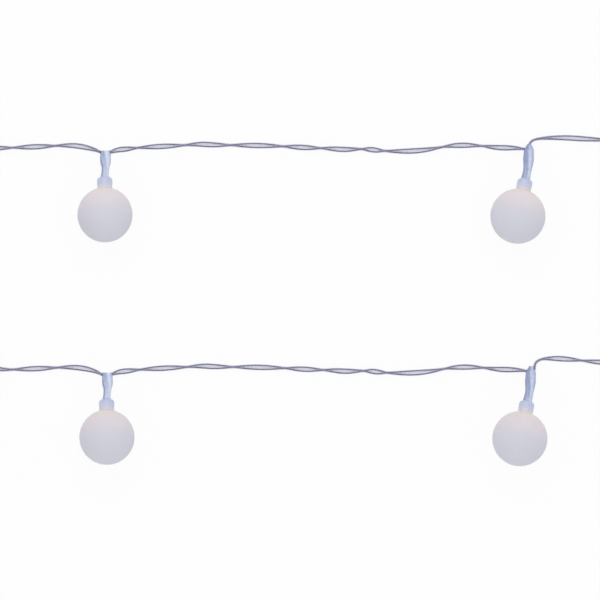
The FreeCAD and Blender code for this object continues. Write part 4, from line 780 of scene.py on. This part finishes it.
edge = add(tree, "ShaderNodeVectorMath", {"operation": "ABSOLUTE"}, {0: edge.outputs[0]})
edge = add(tree, "ShaderNodeSeparateXYZ", {}, {0: edge.outputs[0]}).outputs
finger = add(tree, "ShaderNodeMath", {"operation": "LESS_THAN", 1: FINGER_HALF}, {0: cells[0]})
finger = add(tree, "ShaderNodeMath", {"operation": "MULTIPLY", 1: 0.5}, {0: finger.outputs[0]})
bar = add(tree, "ShaderNodeMath", {"operation": "LESS_THAN", 1: BAR_HALF}, {0: cells[1]})
silver = add(tree, "ShaderNodeMath", {"operation": "MAXIMUM"}, {0: finger.outputs[0], 1: bar.outputs[0]})
gap = add(tree, "ShaderNodeMath", {"operation": "GREATER_THAN", 1: CELL_HALF}, {0: cells[1]})
end = add(tree, "ShaderNodeMath", {"operation": "GREATER_THAN", 1: PANEL_HALF_LONG}, {0: edge[0]})
rim = add(tree, "ShaderNodeMath", {"operation": "GREATER_THAN", 1: PANEL_HALF_WIDE}, {0: edge[1]})
bare = add(tree, "ShaderNodeMath", {"operation": "MAXIMUM"}, {0: end.outputs[0], 1: rim.outputs[0]})
bare = add(tree, "ShaderNodeMath", {"operation": "MAXIMUM"}, {0: gap.outputs[0], 1: bare.outputs[0]})
lined = add(
    tree, "ShaderNodeMix", {"data_type": "RGBA", 7: linear("B4BAC4")}, {0: silver.outputs[0], 6: blue.outputs[2]},
)
laid = add(
    tree, "ShaderNodeMix", {"data_type": "RGBA", 7: linear("0A0D16")}, {0: bare.outputs[0], 6: lined.outputs[2]},
)
wafer = add(tree, "ShaderNodeBsdfPrincipled", {"Roughness": 0.3, "IOR": 1.6}, {"Base Color": laid.outputs[2]})
add(tree, "ShaderNodeOutputMaterial", {}, {"Surface": wafer.outputs[0]})
paint("solar_cells", silicon)
cover = bpy.data.materials.new("clear polycarbonate cover")
# Injection moulded and polished: it is clear, reflects at its surface and has faint handling smears.
cover.use_nodes = True
tree = cover.node_tree
tree.nodes.clear()
where = add(tree, "ShaderNodeTexCoord").outputs["Object"]
smears = add(tree, "ShaderNodeTexNoise", {"Scale": 70.0, "Detail": 4.0, "Distortion": 1.5}, {"Vector": where})
dulled = add(tree, "ShaderNodeMapRange", {"To Min": 0.02, "To Max": 0.14}, {"Value": smears.outputs["Fac"]})
clear = add(tree, "ShaderNodeBsdfTransparent", {"Color": linear("F4F8F8")})
shine = add(tree, "ShaderNodeBsdfGlossy", {"Color": linear("FFFFFF")}, {"Roughness": dulled.outputs[0]})
share = add(tree, "ShaderNodeFresnel", {"IOR": 1.58})
both = add(tree, "ShaderNodeMixShader", {}, {0: share.outputs[0], 1: clear.outputs[0], 2: shine.outputs[0]})
add(tree, "ShaderNodeOutputMaterial", {}, {"Surface": both.outputs[0]})
paint("panel_glass", cover)
# Rolled or turned steel with bright zinc on it: grey, half gloss and faintly mottled.
steel = finish("zinc-plated steel", ("A9ADB3", "C9CCD0"), 0.3, 0.9, 0.01, Metallic=1.0)
for node in ("cover_screws", "pivot_bolt", "pivot_washer"):
    paint(node, steel)
# Inside the case: plain green film on the cell, and a lacquered glass-fibre board with black epoxy parts.
paint("battery_cell", finish("shrink film on the cell", ("2B6E4F", "37805D"), 0.3, 3, 0.02))
paint("circuit_board", finish("green solder mask", ("0F4A2C", "175C39"), 0.35, 2, 0.02))
paint("board_parts", finish("moulded epoxy parts", ("1E1E20", "2C2C2F"), 0.5, 0.8, 0.02))
